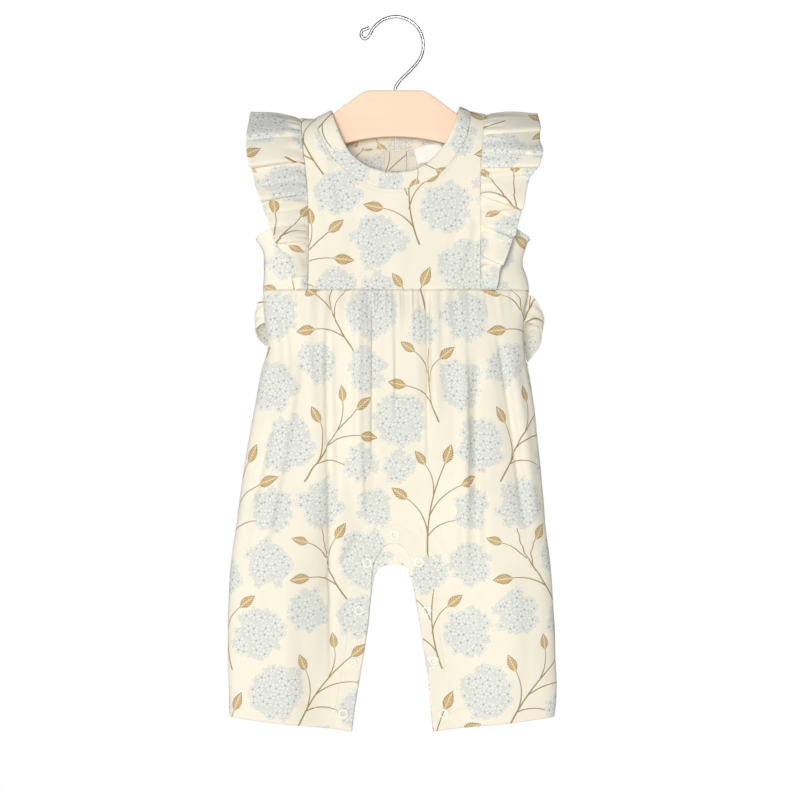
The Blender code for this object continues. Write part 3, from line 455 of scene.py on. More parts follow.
# Hook: the middle line of its wire, from inside the board up over the crown to the curl.
HOOK_PATH = Table(
    ("step", "x", "z"),
    (
        (0, 0.5, -77.5), (1, 0.5, -66), (2, 1, -61), (3, 4.4, -55),
        (4, 10.7, -48.8), (5, 17.9, -41.3), (6, 23.2, -33.7), (7, 25.4, -24.1),
        (8, 24.1, -15.3), (9, 20.4, -8), (10, 13.2, -1.8), (11, 4.5, 1.3),
        (12, -3.9, 1), (13, -11.8, -2.3), (14, -17.9, -7.9), (15, -21, -13.2),
        (16, -23.9, -17.2), (17, -27.3, -17.4), (18, -29.2, -14.3), (19, -28, -10.6),
        (20, -24.6, -9.2), (21, -22.2, -8),
    ),
)
HOOK_LAST_STEP = 21.0

# Ring snaps, as places on the form.
FRONT_SNAPS = (
    ("snap_crotch", 0.4, -451.9), ("snap_left_1", -23.6, -476.4), ("snap_left_2", -30.6, -518.0),
    ("snap_left_3", -36.9, -563.9), ("snap_left_4", -44.7, -608.2), ("snap_right_1", 21.6, -475.8),
    ("snap_right_2", 28.2, -518.2), ("snap_right_3", 34.7, -561.8), ("snap_right_4", 43.6, -608.3),
)
BACK_SNAPS = (
    ("snap_back_1", CENTRE_X, -126.0), ("snap_back_2", CENTRE_X, -160.0),
    ("snap_back_3", CENTRE_X, -194.0),
)

# Small pieces that lie on the back.
BACK_PLACKET_HALF = 10.0
BACK_PLACKET_TOP_Z = -115.0
BACK_PLACKET_LOW_Z = -236.0
LABEL_CENTRE = (30.6, -116.6)
LABEL_HALF = (12.3, 7.2)
LABEL_TILT = math.radians(15.0)
LABEL_WALL = 1.0
LABEL_CURL = 1.6
LABEL_CURL_WAVE = (0.6, 0.4, 2.4, 0.4)
# The label's emission strength: a painted glow, since the label is no lamp.
LABEL_PAINTED_GLOW = 0.08

# Seams, hems and stitches. A roll is how far cloth dips where it turns in, over its width, and
# a pair holds the width and the dip.
SEAM_ROLL_WIDTH = 1.8
SEAM_ROLL = 0.25
FLAT_SEAM_ROLL = 0.12
NECK_ROLL = 0.8
FREE_ROLL_WIDTH = 1.2
FREE_ROLL = 0.4
ARMHOLE_ROLL = 0.5
STRIP_ROLL = 0.45
WAIST_ROLL_WIDTH = 2.0
WAIST_ROLL = 0.1
BAND_SEWN_ROLL = (1.8, 0.5)
BAND_FREE_ROLL = (2.2, 0.9)
RUFFLE_SEAM_ROLL = (9.0, 1.5)
FACING_ROLL = (1.0, 0.3)
SIDE_SEAM_TURN = 0.7
LEAST_ROOM = 0.1
HEM_WIDTH = 17.0
HEM_STEP = 0.35
HEM_TURN = 1.2
HEM_STITCH = 0.8
HEM_SOFTNESS = 0.8
STITCH_GROOVE = 0.35
GROOVE_WIDTH = 1.2
WIDE_GROOVE_WIDTH = 1.4
NARROW_GROOVE_WIDTH = 1.0
STITCH_PITCH = 3.1
STITCH_LENGTH = 2.3
STITCH_RADIUS = 0.2
STITCH_FACES = 5

# Walls of the cloth.
SHELL = 0.9
LABEL_SHELL = 0.45
BAND_SHELL = 1.5
HEM_SHELL = 1.5

# Where the rows of stitches run, from the edge or the seam that they follow.
PATH_POINTS = 500
PATH_MARGIN = 0.01
RUFFLE_PATH_MARGIN = 0.005
NECK_STITCH = 2.6
NECK_STITCH_END = 0.8
NECK_UNDERLAP = 0.8
ARMHOLE_STITCH = 5.0
ARMHOLE_STITCH_END = 4.0
PLACKET_STITCH = 2.0
ARCH_STITCH_HALF = 17.5
STRIP_STITCH = 16.0
STRIP_STITCH_TRIES = 3
STRIP_STITCH_TOP_Z = {FRONT: -464.0, BACK: -482.0}

# Neckband and ruffles.
NECKBAND_WIDTH = 15.5
BAND_RISE = 0.25
BAND_RIPPLE = 0.22
BAND_RIPPLES = (1.9, 3.0, 0.83)
BAND_END_GAP = 0.01
RIDGE_STEPS = 0.02
RUFFLE_WIDTH = 40.0
RUFFLE_HEM = 4.0
RUFFLE_BELLY = 2.5

# Hanger and snaps.
BOARD_THICKNESS = 12.0
BOARD_EDGE_ROUND = 1.3
BOARD_POINTS = 220
BOARD_EDGE_FACES = 5
BOARD_SHARP_ANGLE = math.radians(35.0)
CURVE_SHARES = 24
WIRE_RADIUS = 1.45
WIRE_BEVEL = 6
HOOK_POINTS = 240
SNAP_RING_RADIUS = 3.4
SNAP_WIRE_RADIUS = 0.8
RING_WIRE_FACES = 10
RING_STEPS = 40

# Rows of the leg panels' grids, and the share of their columns outside the snaps' strip.
LEG_SHARE = 10 / 12
LEG_ROWS_TO_ARCH = 112
LEG_ROWS_IN_ARCH = 24
LEG_ROWS_BELOW = 66
LEG_ROWS = LEG_ROWS_TO_ARCH + LEG_ROWS_IN_ARCH + LEG_ROWS_BELOW
ARCH_HEIGHT = 25.0

# Cloth pieces: columns and rows of the grid, the column of a panel or the row of a strip from
# which its cut is laid out flat, and where the cut lies on the print, in millimetres.
CLOTH_GRIDS = {
    "front_bodice": (104, 96, 52, 20.0, 330.0),
    "back_bodice_left": (52, 96, -1, 75.0, 300.0),
    "back_bodice_right": (52, 96, 0, 75.0, 300.0),
    "side_front_left": (24, 72, -1, 20.0, 265.0),
    "side_front_right": (24, 72, -1, 80.0, 265.0),
    "side_back_left": (24, 72, -1, 20.0, 315.0),
    "side_back_right": (24, 72, -1, 80.0, 315.0),
    "neckband": (348, 12, 6, 12.0, 100.0),
    "placket": (14, 84, 7, 75.0, 300.0),
    "placket_facing": (14, 84, 7, 140.0, 260.0),
    "neck_label": (28, 16, 14, 0.0, 0.0),
    "legs_front": (96, LEG_ROWS, -1, 0.0, 700.0),
    "legs_back": (96, LEG_ROWS, -1, 94.0, 700.0),
    "ruffle_left": (760, 26, -1, 60.0, 150.0),
    "ruffle_right": (760, 26, -1, 10.0, 150.0),
    "tie_left": (150, 22, 11, 30.0, 40.0),
    "tie_right": (150, 22, 11, 30.0, 80.0),
    "tie_tail_left": (22, 72, 11, 60.0, 370.0),
    "tie_tail_right": (22, 72, 11, 60.0, 430.0),
}

# Print: one repeat of the cloth, with its flower heads. Columns: x, y, radius.
REPEAT = (188.0, 216.0)
BLOOMS = (
    (4.7, 91.2, 16.0), (5.1, 134.3, 25.0), (28.8, 213.2, 18.0), (65.1, 162.3, 24.0),
    (70.0, 7.6, 23.0), (73.6, 54.6, 21.0), (81.8, 111.6, 26.0), (109.8, 183.1, 21.0),
    (120.9, 58.9, 24.0), (155.3, 95.2, 19.0), (158.3, 176.4, 22.0), (163.9, 11.2, 27.0),
    (168.8, 57.6, 18.0),
)
FLORET_CELL = 7.6
FLORET_SHIFT = (3.9, 2.7, 0.0)
BLOOM_BORDER = 3.0
WASH_BORDER = 5.2
BLOOM_UNEVEN = 11.0
BLOOM_EDGE_SCALE = 0.055
FAR_OUTSIDE = -99.0
FLORET_DISORDER = 0.7
PETALS = 5
PETAL_MIDDLE = 2.9
PETAL_HALF_LENGTH = 1.95
PETAL_HALF_WIDTH = 1.25
PETAL_LINE = 0.2
DOT_RADIUS = 0.5

# Twigs of two sprig drawings, the second drawn farther along x.
# Columns: x and y of the foot, heading in degrees, length, bend, width, leaf at the tip.
SECOND_DRAWING_X = 200.0
TWIGS = (
    (0.0, -48.0, 88.0, 84.0, 5.0, 0.80, 18.0), (-3.0, -28.0, 128.0, 36.0, -4.0, 0.62, 17.0),
    (-3.6, -12.0, 52.0, 40.0, 4.0, 0.62, 19.0), (-3.0, 8.0, 114.0, 27.0, -2.5, 0.55, 15.0),
    (-2.8, -30.0, 34.0, 33.0, 4.0, 0.58, 0.0), (200.0, -38.0, 96.0, 70.0, -5.0, 0.72, 0.0),
    (201.8, -22.0, 44.0, 31.0, 3.0, 0.60, 18.0), (202.4, -6.0, 132.0, 28.0, -3.0, 0.60, 17.0),
    (201.5, 6.0, 66.0, 23.0, 2.0, 0.55, 15.0),
)

# Sprigs in the repeat. Columns: x, y, turn in degrees, mirror, scale, x of the drawing.
SPRIGS = (
    (36.0, 60.0, -8.0, 1.0, 1.0, 0.0), (128.0, 8.0, 30.0, -1.0, 1.0, SECOND_DRAWING_X),
    (34.0, 168.0, 12.0, -1.0, 1.0, SECOND_DRAWING_X), (128.0, 116.0, -36.0, 1.0, 0.95, 0.0),
)
SPRIG_REACH = (40.0, 58.0)
SPRIG_LIMIT = 9.0
NO_SPRIG = (0.0, 999.0, 0.0)
TWIG_TAPER = 0.4

# Leaves, as shares of their length.
LEAF_LIMIT = 99.0
NO_LEAF_SIZE = 10.0
LEAF_HALF_WIDTH = 0.2064
TOOTH_DEPTH = 0.0672
LEAF_SWELL = 0.8
LEAF_TEETH = 9.0
LEAF_LINE = 0.032
MIDRIB_WIDTH = 0.028
LEAF_VEINS = 6.0
VEIN_SLANT = 1.1
VEIN_WIDTH = 0.24
VEIN_SHARE = 0.8

# Textures: scales of the patterns, bumps as strength and distance, and numbers that a pattern
# is multiplied by and added to.
WALE_SCALE = 0.36
COURSE_SCALE = 0.5
KNIT_UNEVEN_SCALE = 0.16
KNIT_UNEVEN = 1.6
KNIT_BUMP = (0.35, 0.0002)
BLOTCH_SCALE = 0.9
BLOTCH_TONE = (0.05, 0.972)
TAPE_SCALE = 0.8
TAPE_BUMP = (0.3, 0.0001)
GRAIN_SCALE = (30.0, 160.0, 420.0)
GRAIN_TONE = (0.09, 0.95)
GRAIN_BUMP = (0.12, 0.0002)
WIRE_MARKS_SCALE = 900.0
WIRE_ROUGHNESS = (0.06, 0.26)
ENAMEL_SCALE = 700.0
THREAD_SCALE = 2500.0

# Stage, in metres: the camera, the lights as name, size and place, and the floor.
CAMERA_PLACE = (0.0009, -2.5, -0.33)
CAMERA_SENSOR = 36.0
CAMERA_LENS = 130.0
LAMPS = (
    ("key_light", 0.6, (-1.5, -1.5, 1.1)),
    ("left_light", 0.9, (-2.2, -0.2, 0.3)),
    ("right_light", 0.9, (2.1, 0.1, 0.3)),
    ("front_light", 0.9, (-0.3, -2.5, -0.1)),
    ("back_light", 1.2, (0.5, 2.4, 0.2)),
)
LAMP_AIM = (0.0, 0.0, -0.33)
FLOOR_RADIUS = 2.4
FLOOR_Z = -1.2
FLOOR_POINTS = 96


def srgb(red, green, blue):
    """A colour given as screen values of 0 to 255, as the linear colour that shaders take."""
    linear = []
    for value in (red, green, blue):
        share = value / 255
        linear.append(share / 12.92 if share <= 0.04045 else ((share + 0.055) / 1.055) ** 2.4)
    return (*linear, 1.0)


# Colours of the print that the settings don't hold.
PRINT_COLOURS = {
    "midrib": srgb(228, 209, 169),
    "petal": srgb(227, 227, 218),
    "dot": srgb(122, 125, 134),
}


def smoothstep(start, end, value):
    """0 at start, 1 at end, and a smooth rise between them."""
    part = np.clip((value - start) / (end - start), 0.0, 1.0)
    return part * part * (3 - 2 * part)


def fading(ends, along):
    """1 along a fold, falling to 0 at both ends between the shares of its run that ends gives."""
    top, foot = ends
    return smoothstep(*top, along) * smoothstep(*foot, along)


def hump(distance, left_width, right_width):
    """1 on a line, falling smoothly to 0 at the width of each of its sides."""
    width = np.where(distance < 0, left_width, right_width)
    return (1 + np.cos(math.pi * np.clip(np.abs(distance) / width, 0, 1))) / 2


def nearer(table, x, z):
    """The table's left column where x is left of the centre, and its right column elsewhere."""
    return np.where(x < CENTRE_X, table.at("left", z), table.at("right", z))


def run_lengths(points, axis=0):
    """Length from the first point along the lines of points that run on this axis."""
    steps = np.linalg.norm(np.diff(points, axis=axis), axis=-1)
    start = np.zeros_like(np.take(steps, [0], axis=axis))
    return np.concatenate((start, np.cumsum(steps, axis=axis)), axis=axis)


def inset(share, margin):
    """A share of a run that leaves a margin at both of its ends."""
    return margin + (1 - 2 * margin) * share


def lens(offset):
    """Height of a rounded cross-section at an offset of -1 to 1 from its middle."""
    return (1 - np.clip(np.abs(offset), 0, 1) ** LENS_POWER) ** (1 / LENS_POWER)


def across_body(x, z):
    """The lens of the whole body's width at this height."""
    left = OUTLINE.at("left", z)
    right = OUTLINE.at("right", z)
    return lens((2 * x - left - right) / (right - left))


def across_leg(x, z):
    """The lens of the leg that holds x, which is flat along the strip that holds the snaps."""
    outer = nearer(OUTLINE, x, z)
    share = np.clip((x - outer) / (nearer(SNAP_STRIP, x, z) - outer), 0, 1)
    return lens(2 * np.minimum(share, 0.5) - 1) * smoothstep(1.0, LEG_EASE, share)


def folds_at(x, z, wall):
    """How far the largest folds lift the cloth at a place."""
    lift = np.zeros(np.broadcast(x, z).shape)
    for x_top, z_top, x_low, z_low, half_width, rise in FOLDS[wall]:
        along = (z - z_top) / (z_low - z_top)
        middle = x_top + (x_low - x_top) * along
        lift = lift + rise * fading(FOLD_ENDS, along) * hump(x - middle, half_width, half_width)
    return lift


def depth(x, z, wall):
    """Distance of the wall's inner side from the mid plane."""
    leg_share = smoothstep(LEG_BLEND_TOP_Z, LEG_BLEND_LOW_Z, z)
    section = (1 - leg_share) * across_body(x, z) + leg_share * across_leg(x, z)
    below_shoulder = np.clip((SHOULDER.at("z", x) - z) / SHOULDER_ROUND, 0, 1)
    shoulder = np.sqrt(1 - (1 - below_shoulder) ** 2)
    full = FULLNESS.at(WALL_NAMES[wall], z) + folds_at(x, z, wall)
    return np.maximum(full * section * shoulder, SMALLEST_DEPTH)


def on_form(x, z, wall, lift, to_seam=False):
    """Points at x and z on a wall's inner side, moved out along the form's normal by lift.

    To the seam, the two walls stay apart and turn in to meet on the mid plane at the sides.
    """
    slope_x = (depth(x + SLOPE_STEP, z, wall) - depth(x - SLOPE_STEP, z, wall)) / (2 * SLOPE_STEP)
    slope_z = (depth(x, z + SLOPE_STEP, wall) - depth(x, z - SLOPE_STEP, wall)) / (2 * SLOPE_STEP)
    length = np.sqrt(1 + slope_x ** 2 + slope_z ** 2)
    if to_seam:
        lift = np.maximum(lift, SHELL + LEAST_ROOM - depth(x, z, wall))
    from_side = np.minimum(x - OUTLINE.at("left", z), OUTLINE.at("right", z) - x)
    sewn = smoothstep(0, SIDE_SEAM_TURN, from_side) if to_seam else 1.0
    return np.stack(
        (
            x - lift * slope_x / length,
            wall * sewn * (depth(x, z, wall) + lift / length),
            z - lift * slope_z / length,
        ),
        axis=-1,
    )


def raised(surface, u, v, lift):
    """Points of a free surface, moved along its own normal by lift."""
    along = surface(u + SURFACE_STEP, v) - surface(u - SURFACE_STEP, v)
    over = surface(u, v + SURFACE_STEP) - surface(u, v - SURFACE_STEP)
    normal = np.cross(along, over)
    length = np.linalg.norm(normal, axis=-1, keepdims=True)
    return surface(u, v) + np.asarray(lift)[..., None] * normal / np.maximum(length, TINY)


def creases_at(x, z, wall):
    """How far the creases and the cloth's slow unevenness lift a panel at a place."""
    lift = np.zeros(np.broadcast(x, z).shape)
    for x_top, z_top, x_low, z_low, bow, left_width, right_width, rise in CREASES[wall]:
        along = (z - z_top) / (z_low - z_top)
        middle = x_top + (x_low - x_top) * along + 4 * bow * along * (1 - along)
        height = CREASE_GAIN * rise * fading(CREASE_ENDS, along)
        lift = lift + height * hump(x - middle, left_width, right_width)
    for across, down, phase, height in DRIFT_WAVES:
        swing = np.sin(2 * math.pi * x / across + phase + wall)
        lift = lift + height * swing * np.cos(2 * math.pi * z / down + 2 * phase)
    return lift


def gathers_at(x, z, wall):
    """How far the gathers under the waist seam lift the cloth at a place."""
    lift = np.zeros(np.broadcast(x, z).shape)
    below = np.maximum(WAIST_Z - z, 0)
    for foot, half_width, rise, reach, drift in GATHERS[wall]:
        share = np.clip(below / reach, 0, 1)
        wide = GATHER_NARROW * half_width * (1 + GATHER_SPREAD * share)
        height = rise * (1 - share) ** GATHER_FALL
        lift = lift + height * hump(x - foot - drift * share, wide, wide)
    return GATHER_GAIN * lift


def rolled(distance, width=SEAM_ROLL_WIDTH, deep=SEAM_ROLL):
    """How far cloth dips as it turns in at a seam or a free edge this far away."""
    return -deep * (1 - smoothstep(0, width, distance)) ** 2


def groove(distance, width=GROOVE_WIDTH):
    """How deep a row of stitches this far away draws the cloth in."""
    return STITCH_GROOVE * hump(distance, width, width)


def hemmed(distance):
    """The step of a turned-up hem and the groove of its stitches, by distance from the edge."""
    step = HEM_STEP * smoothstep(HEM_WIDTH + HEM_TURN, HEM_WIDTH, distance)
    stitched = step - groove(distance - HEM_WIDTH + HEM_STITCH, WIDE_GROOVE_WIDTH)
    return stitched + rolled(distance, FREE_ROLL_WIDTH, FREE_ROLL)


class Graph:
    """Adds nodes to a node tree and joins them in the order in which they are worked out."""

    def __init__(self, tree):
        """Keep the tree that the nodes go in."""
        self.tree = tree

    def feed(self, socket, value):
        """Join an output to a socket, or set the socket's own value."""
        if isinstance(value, bpy.types.NodeSocket):
            self.tree.links.new(value, socket)
        else:
            socket.default_value = value

    def fill(self, node, sockets):
        """Feed several of a node's sockets, given by name."""
        for name, value in sockets.items():
            self.feed(node.inputs[name], value)

    def add(self, kind, sockets=None, **settings):
        """A new node with these settings, its sockets fed by name."""
        node = self.tree.nodes.new(kind)
        for name, value in settings.items():
            setattr(node, name, value)
        self.fill(node, sockets or {})
        return node

    def math(self, operation, *values):
        """The output of a Math node."""
        node = self.add("ShaderNodeMath", operation=operation)
        for socket, value in zip(node.inputs, values):
            self.feed(socket, value)
        return node.outputs[0]

    def vector(self, operation, *values):
        """The output of a Vector Math node."""
        node = self.add("ShaderNodeVectorMath", operation=operation)
        for socket, value in zip(node.inputs, values):
            self.feed(socket, value)
        is_number = operation in ("LENGTH", "DISTANCE", "DOT_PRODUCT")
        return node.outputs["Value" if is_number else "Vector"]

    def scaled(self, vector, factor):
        """A vector or a colour times a number."""
        node = self.add("ShaderNodeVectorMath", {"Scale": factor}, operation="SCALE")
        self.feed(node.inputs[0], vector)
        return node.outputs["Vector"]

    def parts(self, vector):
        """The three numbers of a vector."""
        return tuple(self.add("ShaderNodeSeparateXYZ", {"Vector": vector}).outputs)

    def choose(self, factor, first, second, kind):
        """A Mix node: first where the factor is 0 and second where it is 1."""
        node = self.add("ShaderNodeMix", data_type=kind)
        place = {"FLOAT": 2, "VECTOR": 4, "RGBA": 6}[kind]
        self.feed(node.inputs[0], factor)
        self.feed(node.inputs[place], first)
        self.feed(node.inputs[place + 1], second)
        return node.outputs[{"FLOAT": 0, "VECTOR": 1, "RGBA": 2}[kind]]

    def own_place(self):
        """The place on the piece, in its Object coordinates."""
        return self.add("ShaderNodeTexCoord").outputs["Object"]

    def noise(self, place, scale, detail=2.0, dimensions="3D"):
        """The output of a Noise Texture node."""
        sockets = {"Vector": place, "Scale": scale, "Detail": detail}
        return self.add("ShaderNodeTexNoise", sockets, noise_dimensions=dimensions).outputs["Fac"]

    def bands(self, place, scale, direction):
        """The output of a Wave Texture node whose bands follow one another in a direction."""
        sockets = {"Vector": place, "Scale": scale}
        node = self.add("ShaderNodeTexWave", sockets, wave_type="BANDS", bands_direction=direction)
        return node.outputs["Fac"]

    def bump(self, strength, distance, height):
        """The normal of a Bump node."""
        sockets = {"Strength": strength, "Distance": distance, "Height": height}
        return self.add("ShaderNodeBump", sockets).outputs["Normal"]


def repeats(x, y, reach):
    """The places of a motif in and around one repeat whose reach touches the repeat."""
    places = []
    for shift_x in (-REPEAT[0], 0.0, REPEAT[0]):
        for shift_y in (-REPEAT[1], 0.0, REPEAT[1]):
            near_x = -reach < x + shift_x < REPEAT[0] + reach
            near_y = -reach < y + shift_y < REPEAT[1] + reach
            if near_x and near_y:
                places.append((x + shift_x, y + shift_y))
    return places


def node_group(name, source, result, kind):
    """A new node group with one vector going in and one result: its graph, and the vector."""
    tree = bpy.data.node_groups.new(name, "ShaderNodeTree")
    tree.interface.new_socket(source, in_out="INPUT", socket_type="NodeSocketVector")
    tree.interface.new_socket(result, in_out="OUTPUT", socket_type=kind)
    graph = Graph(tree)
    return graph, graph.add("NodeGroupInput").outputs[source]


def bloom_group():
    """A node group: how deep a place of the repeat lies in a flower head, below 0 outside."""
    graph, place = node_group("romper_blooms", "Place", "Depth", "NodeSocketFloat")
    inside = FAR_OUTSIDE
    for bloom_x, bloom_y, radius in BLOOMS:
        for x, y in repeats(bloom_x, bloom_y, radius + FLORET_CELL):
            away = graph.vector("DISTANCE", place, (x, y, 0.0))
            inside = graph.math("MAXIMUM", graph.math("SUBTRACT", radius, away), inside)
    graph.add("NodeGroupOutput", {"Depth": inside})
    return graph.tree


def bloom_depth(graph, cut, place):
    """How deep a place lies in a flower head, whose edge is uneven over the whole cut."""
    group = bpy.data.node_groups.get("romper_blooms") or bloom_group()
    inside = graph.add("ShaderNodeGroup", {"Place": place}, node_tree=group)
    uneven = graph.noise(cut, BLOOM_EDGE_SCALE, 1.0, "2D")
    uneven = graph.math("SUBTRACT", uneven, 0.5)
    return graph.math("MULTIPLY_ADD", uneven, BLOOM_UNEVEN, inside.outputs["Depth"])


def florets(graph, cut, place):
    """Masks of one layer of small flowers: their petals, petal outlines and centre dots."""
    sockets = {"Vector": cut, "Scale": 1 / FLORET_CELL, "Randomness": FLORET_DISORDER}
    cells = graph.add("ShaderNodeTexVoronoi", sockets, voronoi_dimensions="2D", feature="F1")
    from_centre = graph.vector("SUBTRACT", cut, cells.outputs["Position"])
    centre = graph.vector("SUBTRACT", place, from_centre)
    centre_depth = bloom_depth(graph, cells.outputs["Position"], centre)
    shown = graph.math("GREATER_THAN", centre_depth, BLOOM_BORDER)
    away = graph.vector("LENGTH", from_centre)
    x, y, _ = graph.parts(from_centre)
    angle = graph.math("ARCTAN2", y, x)
    turned = graph.math("MULTIPLY_ADD", cells.outputs["Color"], 2 * math.pi, angle)
    half_petal = math.pi / PETALS
    folded = graph.math("WRAP", turned, half_petal, -half_petal)
    along = graph.math("MULTIPLY", away, graph.math("COSINE", folded))
    aside = graph.math("MULTIPLY", away, graph.math("SINE", folded))
    along = graph.math("DIVIDE", graph.math("SUBTRACT", along, PETAL_MIDDLE), PETAL_HALF_LENGTH)
    aside = graph.math("DIVIDE", aside, PETAL_HALF_WIDTH)
    oval = graph.math("MULTIPLY_ADD", along, along, graph.math("MULTIPLY", aside, aside))
    petal = graph.math("LESS_THAN", oval, 1.0)
    outline = graph.math("COMPARE", oval, 1.0, PETAL_LINE)
    dot = graph.math("LESS_THAN", away, DOT_RADIUS)
    return [graph.math("MULTIPLY", mask, shown) for mask in (petal, outline, dot)]


def sprig_place(graph, place):
    """A place of the repeat carried into the drawing of the nearest sprig."""
    nearest = SPRIG_LIMIT
    drawn = NO_SPRIG
    reach = (1 / SPRIG_REACH[0], 1 / SPRIG_REACH[1], 0.0)
    for sprig_x, sprig_y, turn, mirror, size, drawing_x in SPRIGS:
        for x, y in repeats(sprig_x, sprig_y, SPRIG_REACH[1]):
            mapping = graph.add("ShaderNodeMapping", vector_type="TEXTURE")
            graph.fill(mapping, {
                "Vector": place,
                "Location": (x, y, 0.0),
                "Rotation": (0.0, 0.0, math.radians(turn)),
                "Scale": (mirror * size, size, 1.0),
            })
            local = mapping.outputs["Vector"]
            away = graph.vector("LENGTH", graph.vector("MULTIPLY", local, reach))
            is_nearer = graph.math("LESS_THAN", away, nearest)
            if drawing_x:
                local = graph.vector("ADD", local, (drawing_x, 0.0, 0.0))
            drawn = graph.choose(is_nearer, drawn, local, "VECTOR")
            nearest = graph.math("MINIMUM", away, nearest)
    return drawn


def twig_lines(graph, drawn):
    """1 on the twigs of the sprig drawings."""
    lines = 0.0
    for x, y, degrees, length, bow, thick, _ in TWIGS:
        heading = math.radians(degrees)
        ahead = (math.cos(heading) / length, math.sin(heading) / length, 0.0)
        aside = (-math.sin(heading), math.cos(heading), 0.0)
        start = graph.vector("SUBTRACT", drawn, (x, y, 0.0))
        along = graph.vector("DOT_PRODUCT", start, ahead)
        side = graph.vector("DOT_PRODUCT", start, aside)
        bend = graph.math("MULTIPLY_ADD", along, -4 * bow, 4 * bow)
        bend = graph.math("MULTIPLY", bend, along)
        width = graph.math("MULTIPLY_ADD", along, -TWIG_TAPER * thick, thick)
        on_line = graph.math("COMPARE", side, bend, width)
        on_length = graph.math("COMPARE", along, 0.5, 0.5)
        lines = graph.math("MAXIMUM", graph.math("MULTIPLY", on_line, on_length), lines)
    return lines


def leaf_masks(graph, drawn):
    """Masks of the leaves at the twigs' tips: the leaf, its pale midrib and veins, its dark edge."""
    nearest = LEAF_LIMIT
    held = (0.0, 0.0, 0.0)
    size = NO_LEAF_SIZE
    for twig_x, twig_y, degrees, length, bow, _, leaf_length in TWIGS:
        if not leaf_length:
            continue
        heading = math.radians(degrees)
        leaf_heading = heading + math.atan2(-4 * bow, length)
        x = twig_x + length * math.cos(heading) + leaf_length / 2 * math.cos(leaf_heading)
        y = twig_y + length * math.sin(heading) + leaf_length / 2 * math.sin(leaf_heading)
        away = graph.vector("DISTANCE", drawn, (x, y, 0.0))
        is_nearer = graph.math("LESS_THAN", away, nearest)
        held = graph.choose(is_nearer, held, (x, y, leaf_heading), "VECTOR")
        size = graph.choose(is_nearer, size, leaf_length, "FLOAT")
        nearest = graph.math("MINIMUM", away, nearest)
    turn = graph.add("ShaderNodeVectorRotate", rotation_type="Z_AXIS", invert=True)
    from_leaf = graph.vector("SUBTRACT", drawn, held)
    graph.fill(turn, {"Vector": from_leaf, "Angle": graph.parts(held)[2]})
    ahead, beside, _ = graph.parts(turn.outputs["Vector"])
    along = graph.math("ADD", graph.math("DIVIDE", ahead, size), 0.5)
    aside = graph.math("ABSOLUTE", graph.math("DIVIDE", beside, size))
    swell = graph.math("POWER", graph.math("MAXIMUM", along, 0.0), LEAF_SWELL)
    swell = graph.math("SINE", graph.math("MULTIPLY", swell, math.pi))
    teeth = graph.math("FRACT", graph.math("MULTIPLY", along, LEAF_TEETH))
    teeth = graph.math("MULTIPLY_ADD", teeth, TOOTH_DEPTH, LEAF_HALF_WIDTH)
    half = graph.math("MULTIPLY", swell, teeth)
    leaf = graph.math("LESS_THAN", aside, half)
    leaf = graph.math("MULTIPLY", leaf, graph.math("COMPARE", along, 0.5, 0.5))
    edge = graph.math("GREATER_THAN", aside, graph.math("SUBTRACT", half, LEAF_LINE))
    vein = graph.math("MULTIPLY_ADD", aside, -VEIN_SLANT, along)
    vein = graph.math("FRACT", graph.math("MULTIPLY", vein, LEAF_VEINS))
    vein = graph.math("MULTIPLY", graph.math("LESS_THAN", vein, VEIN_WIDTH), VEIN_SHARE)
    midrib = graph.math("MAXIMUM", graph.math("LESS_THAN", aside, MIDRIB_WIDTH), vein)
    return {
        "leaf": leaf,
        "midrib": graph.math("MULTIPLY", midrib, leaf),
        "dark": graph.math("MULTIPLY", edge, leaf),
    }


def print_group(colours):
    """The print as a node group: its colour at a place of the flat cloth, given in millimetres."""
    graph, cut = node_group("romper_print", "Cut", "Colour", "NodeSocketColor")
    place = graph.vector("WRAP", cut, (*REPEAT, 0.0), (0.0, 0.0, 0.0))
    drawn = sprig_place(graph, place)
    leaves = leaf_masks(graph, drawn)
    twigs = twig_lines(graph, drawn)
    wash = graph.math("GREATER_THAN", bloom_depth(graph, cut, place), WASH_BORDER)
    under_petal, under_line, _ = florets(graph, graph.vector("ADD", cut, FLORET_SHIFT), place)
    petal, line, dot = florets(graph, cut, place)
    colour = colours["ground"]
    layers = (
        (twigs, "twig"), (leaves["leaf"], "leaf"), (leaves["midrib"], "midrib"),
        (leaves["dark"], "leaf_line"), (wash, "bloom"), (under_petal, "bloom"),
        (under_line, "petal_line"), (petal, "petal"), (line, "petal_line"), (dot, "dot"),
    )
    for mask, name in layers:
        colour = graph.choose(mask, colour, colours[name], "RGBA")
    graph.add("NodeGroupOutput", {"Colour": colour})
    return graph.tree


def cut_millimetres(graph):
    """The piece's place on the flat cloth, in millimetres."""
    return graph.scaled(graph.add("ShaderNodeUVMap", uv_map=CUT_MAP).outputs["UV"], 1 / MM)


def plain_finish(name, colour, roughness, metallic=0.0):
    """A material of one finish, and its graph and shader, for its maker to add detail to."""
    material = bpy.data.materials.new(name)
    material.use_nodes = True
    graph = Graph(material.node_tree)
    shader = material.node_tree.nodes["Principled BSDF"]
    graph.fill(shader, {"Base Color": colour, "Roughness": roughness, "Metallic": metallic})
    return material, graph, shader


